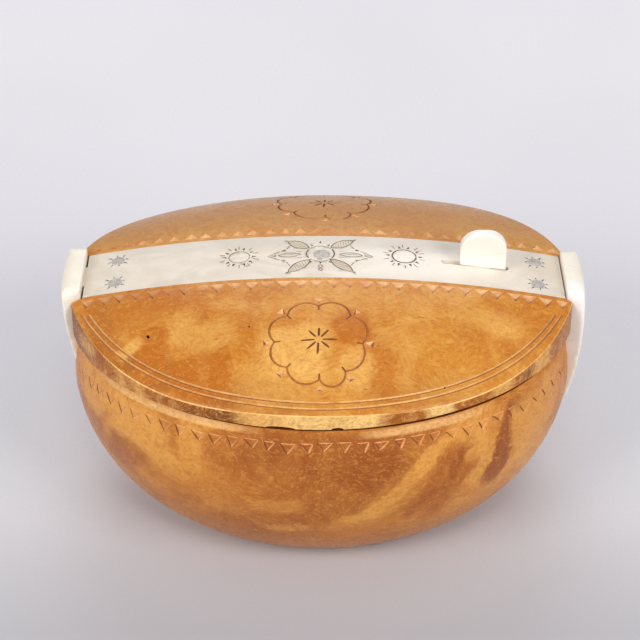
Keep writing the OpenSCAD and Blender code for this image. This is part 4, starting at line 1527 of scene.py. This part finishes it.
def floor_material():
    """Pale paper, greyer towards the front and paler far back: painted shade and light, the fall of the
    studio light across the floor.
    """
    material, tree, shader = new_material("paper_floor")
    tooth = noise(tree, stretched(tree, (900, 900, 900)), 3.0, 0.6)
    cloud = noise(tree, stretched(tree, (5, 5, 5)), 2.0)
    depth = node(tree, "ShaderNodeSeparateXYZ", {0: object_place(tree)}).outputs["Y"]
    span = {"Value": depth, 1: FLOOR_NEAR, 2: FLOOR_FAR}
    share = node(tree, "ShaderNodeMapRange", span).outputs[0]
    # Darker near the front, brighter far back: painted shade and light
    stops = [(0.06, rgb(190, 192, 200)), (0.22, rgb(221, 224, 232)), (0.42, rgb(230, 231, 238)),
             (0.82, rgb(242, 242, 247)), (1.0, rgb(244, 244, 249))]
    colour = ramp(tree, share, stops)
    colour = blend_colour(tree, ease(tree, cloud, 0.3, 0.7, 0.0, 0.1), colour, rgb(186, 184, 190))
    colour = blend_colour(tree, ease(tree, tooth, 0.3, 0.7, 0.0, 0.06), colour, rgb(180, 176, 178))
    feed(tree, shader, colour, ease(tree, tooth, 0.3, 0.7, 0.75, 0.9), tooth, 0.1, 0.1 * MM)
    return material


def lay_floor():
    bm = bmesh.new()
    bmesh.ops.create_circle(bm, cap_ends=True, segments=96, radius=FLOOR_RADIUS)
    bmesh.ops.translate(bm, vec=(0, 0, cad_box[0][2] - FLOOR_DROP), verts=bm.verts)
    floor = settle(bm, "floor", floor_material())


def soft_light(name, place, aim, size, power, colour):
    lamp = bpy.data.lights.new(name, "AREA")
    lamp.shape = "DISK"
    lamp.size = size
    lamp.energy = power
    lamp.color = colour[:3]
    made = show(lamp, name)
    made.location = place
    made.rotation_euler = (Vector(aim) - Vector(place)).to_track_quat("-Z", "Y").to_euler()


def light_scene():
    world = bpy.data.worlds.new("studio")
    world.use_nodes = True
    sky = world.node_tree.nodes["Background"]
    sky.inputs[0].default_value = rgb(240, 240, 244)
    sky.inputs[1].default_value = 0.46
    bpy.context.scene.world = world
    middle = (0, 0, 50 * MM)
    soft_light("left_box", (-0.85, -0.85, 0.8), middle, 0.7, 8.4, rgb(255, 250, 244))
    soft_light("right_box", (0.85, -0.85, 0.8), middle, 0.7, 8.6, rgb(255, 250, 244))
    soft_light("front_box", (0.05, -0.75, 1.05), middle, 0.3, 1.6, rgb(255, 251, 246))
    soft_light("back_box", (0.0, 1.1, 1.1), (0, 0.35, 0), 1.0, 5.0, rgb(250, 250, 254))


CAMERA_TURN = math.radians(34.5)
CAMERA_REACH = 600 * MM
CAMERA_AIM = Vector((-0.5 * MM, 0, 58.25 * MM))
FOCAL_PIXELS = 2005.5
FRAME_PIXELS = 640
SENSOR_WIDTH = 36


def set_camera():
    lens = bpy.data.cameras.new("camera")
    lens.sensor_width = SENSOR_WIDTH
    lens.lens = FOCAL_PIXELS / FRAME_PIXELS * SENSOR_WIDTH
    lens.clip_start = 0.01
    made = show(lens, "camera")
    away = Vector((0, -math.cos(CAMERA_TURN), math.sin(CAMERA_TURN)))
    made.location = CAMERA_AIM + away * CAMERA_REACH
    made.rotation_euler = (-away).to_track_quat("-Z", "Y").to_euler()
    bpy.context.scene.camera = made
    bpy.context.scene.view_settings.view_transform = "Standard"


carve_lid()
carve_bowl()
engrave_band()
soften_antler()
dress_small_pieces()
lay_floor()
light_scene()
set_camera()
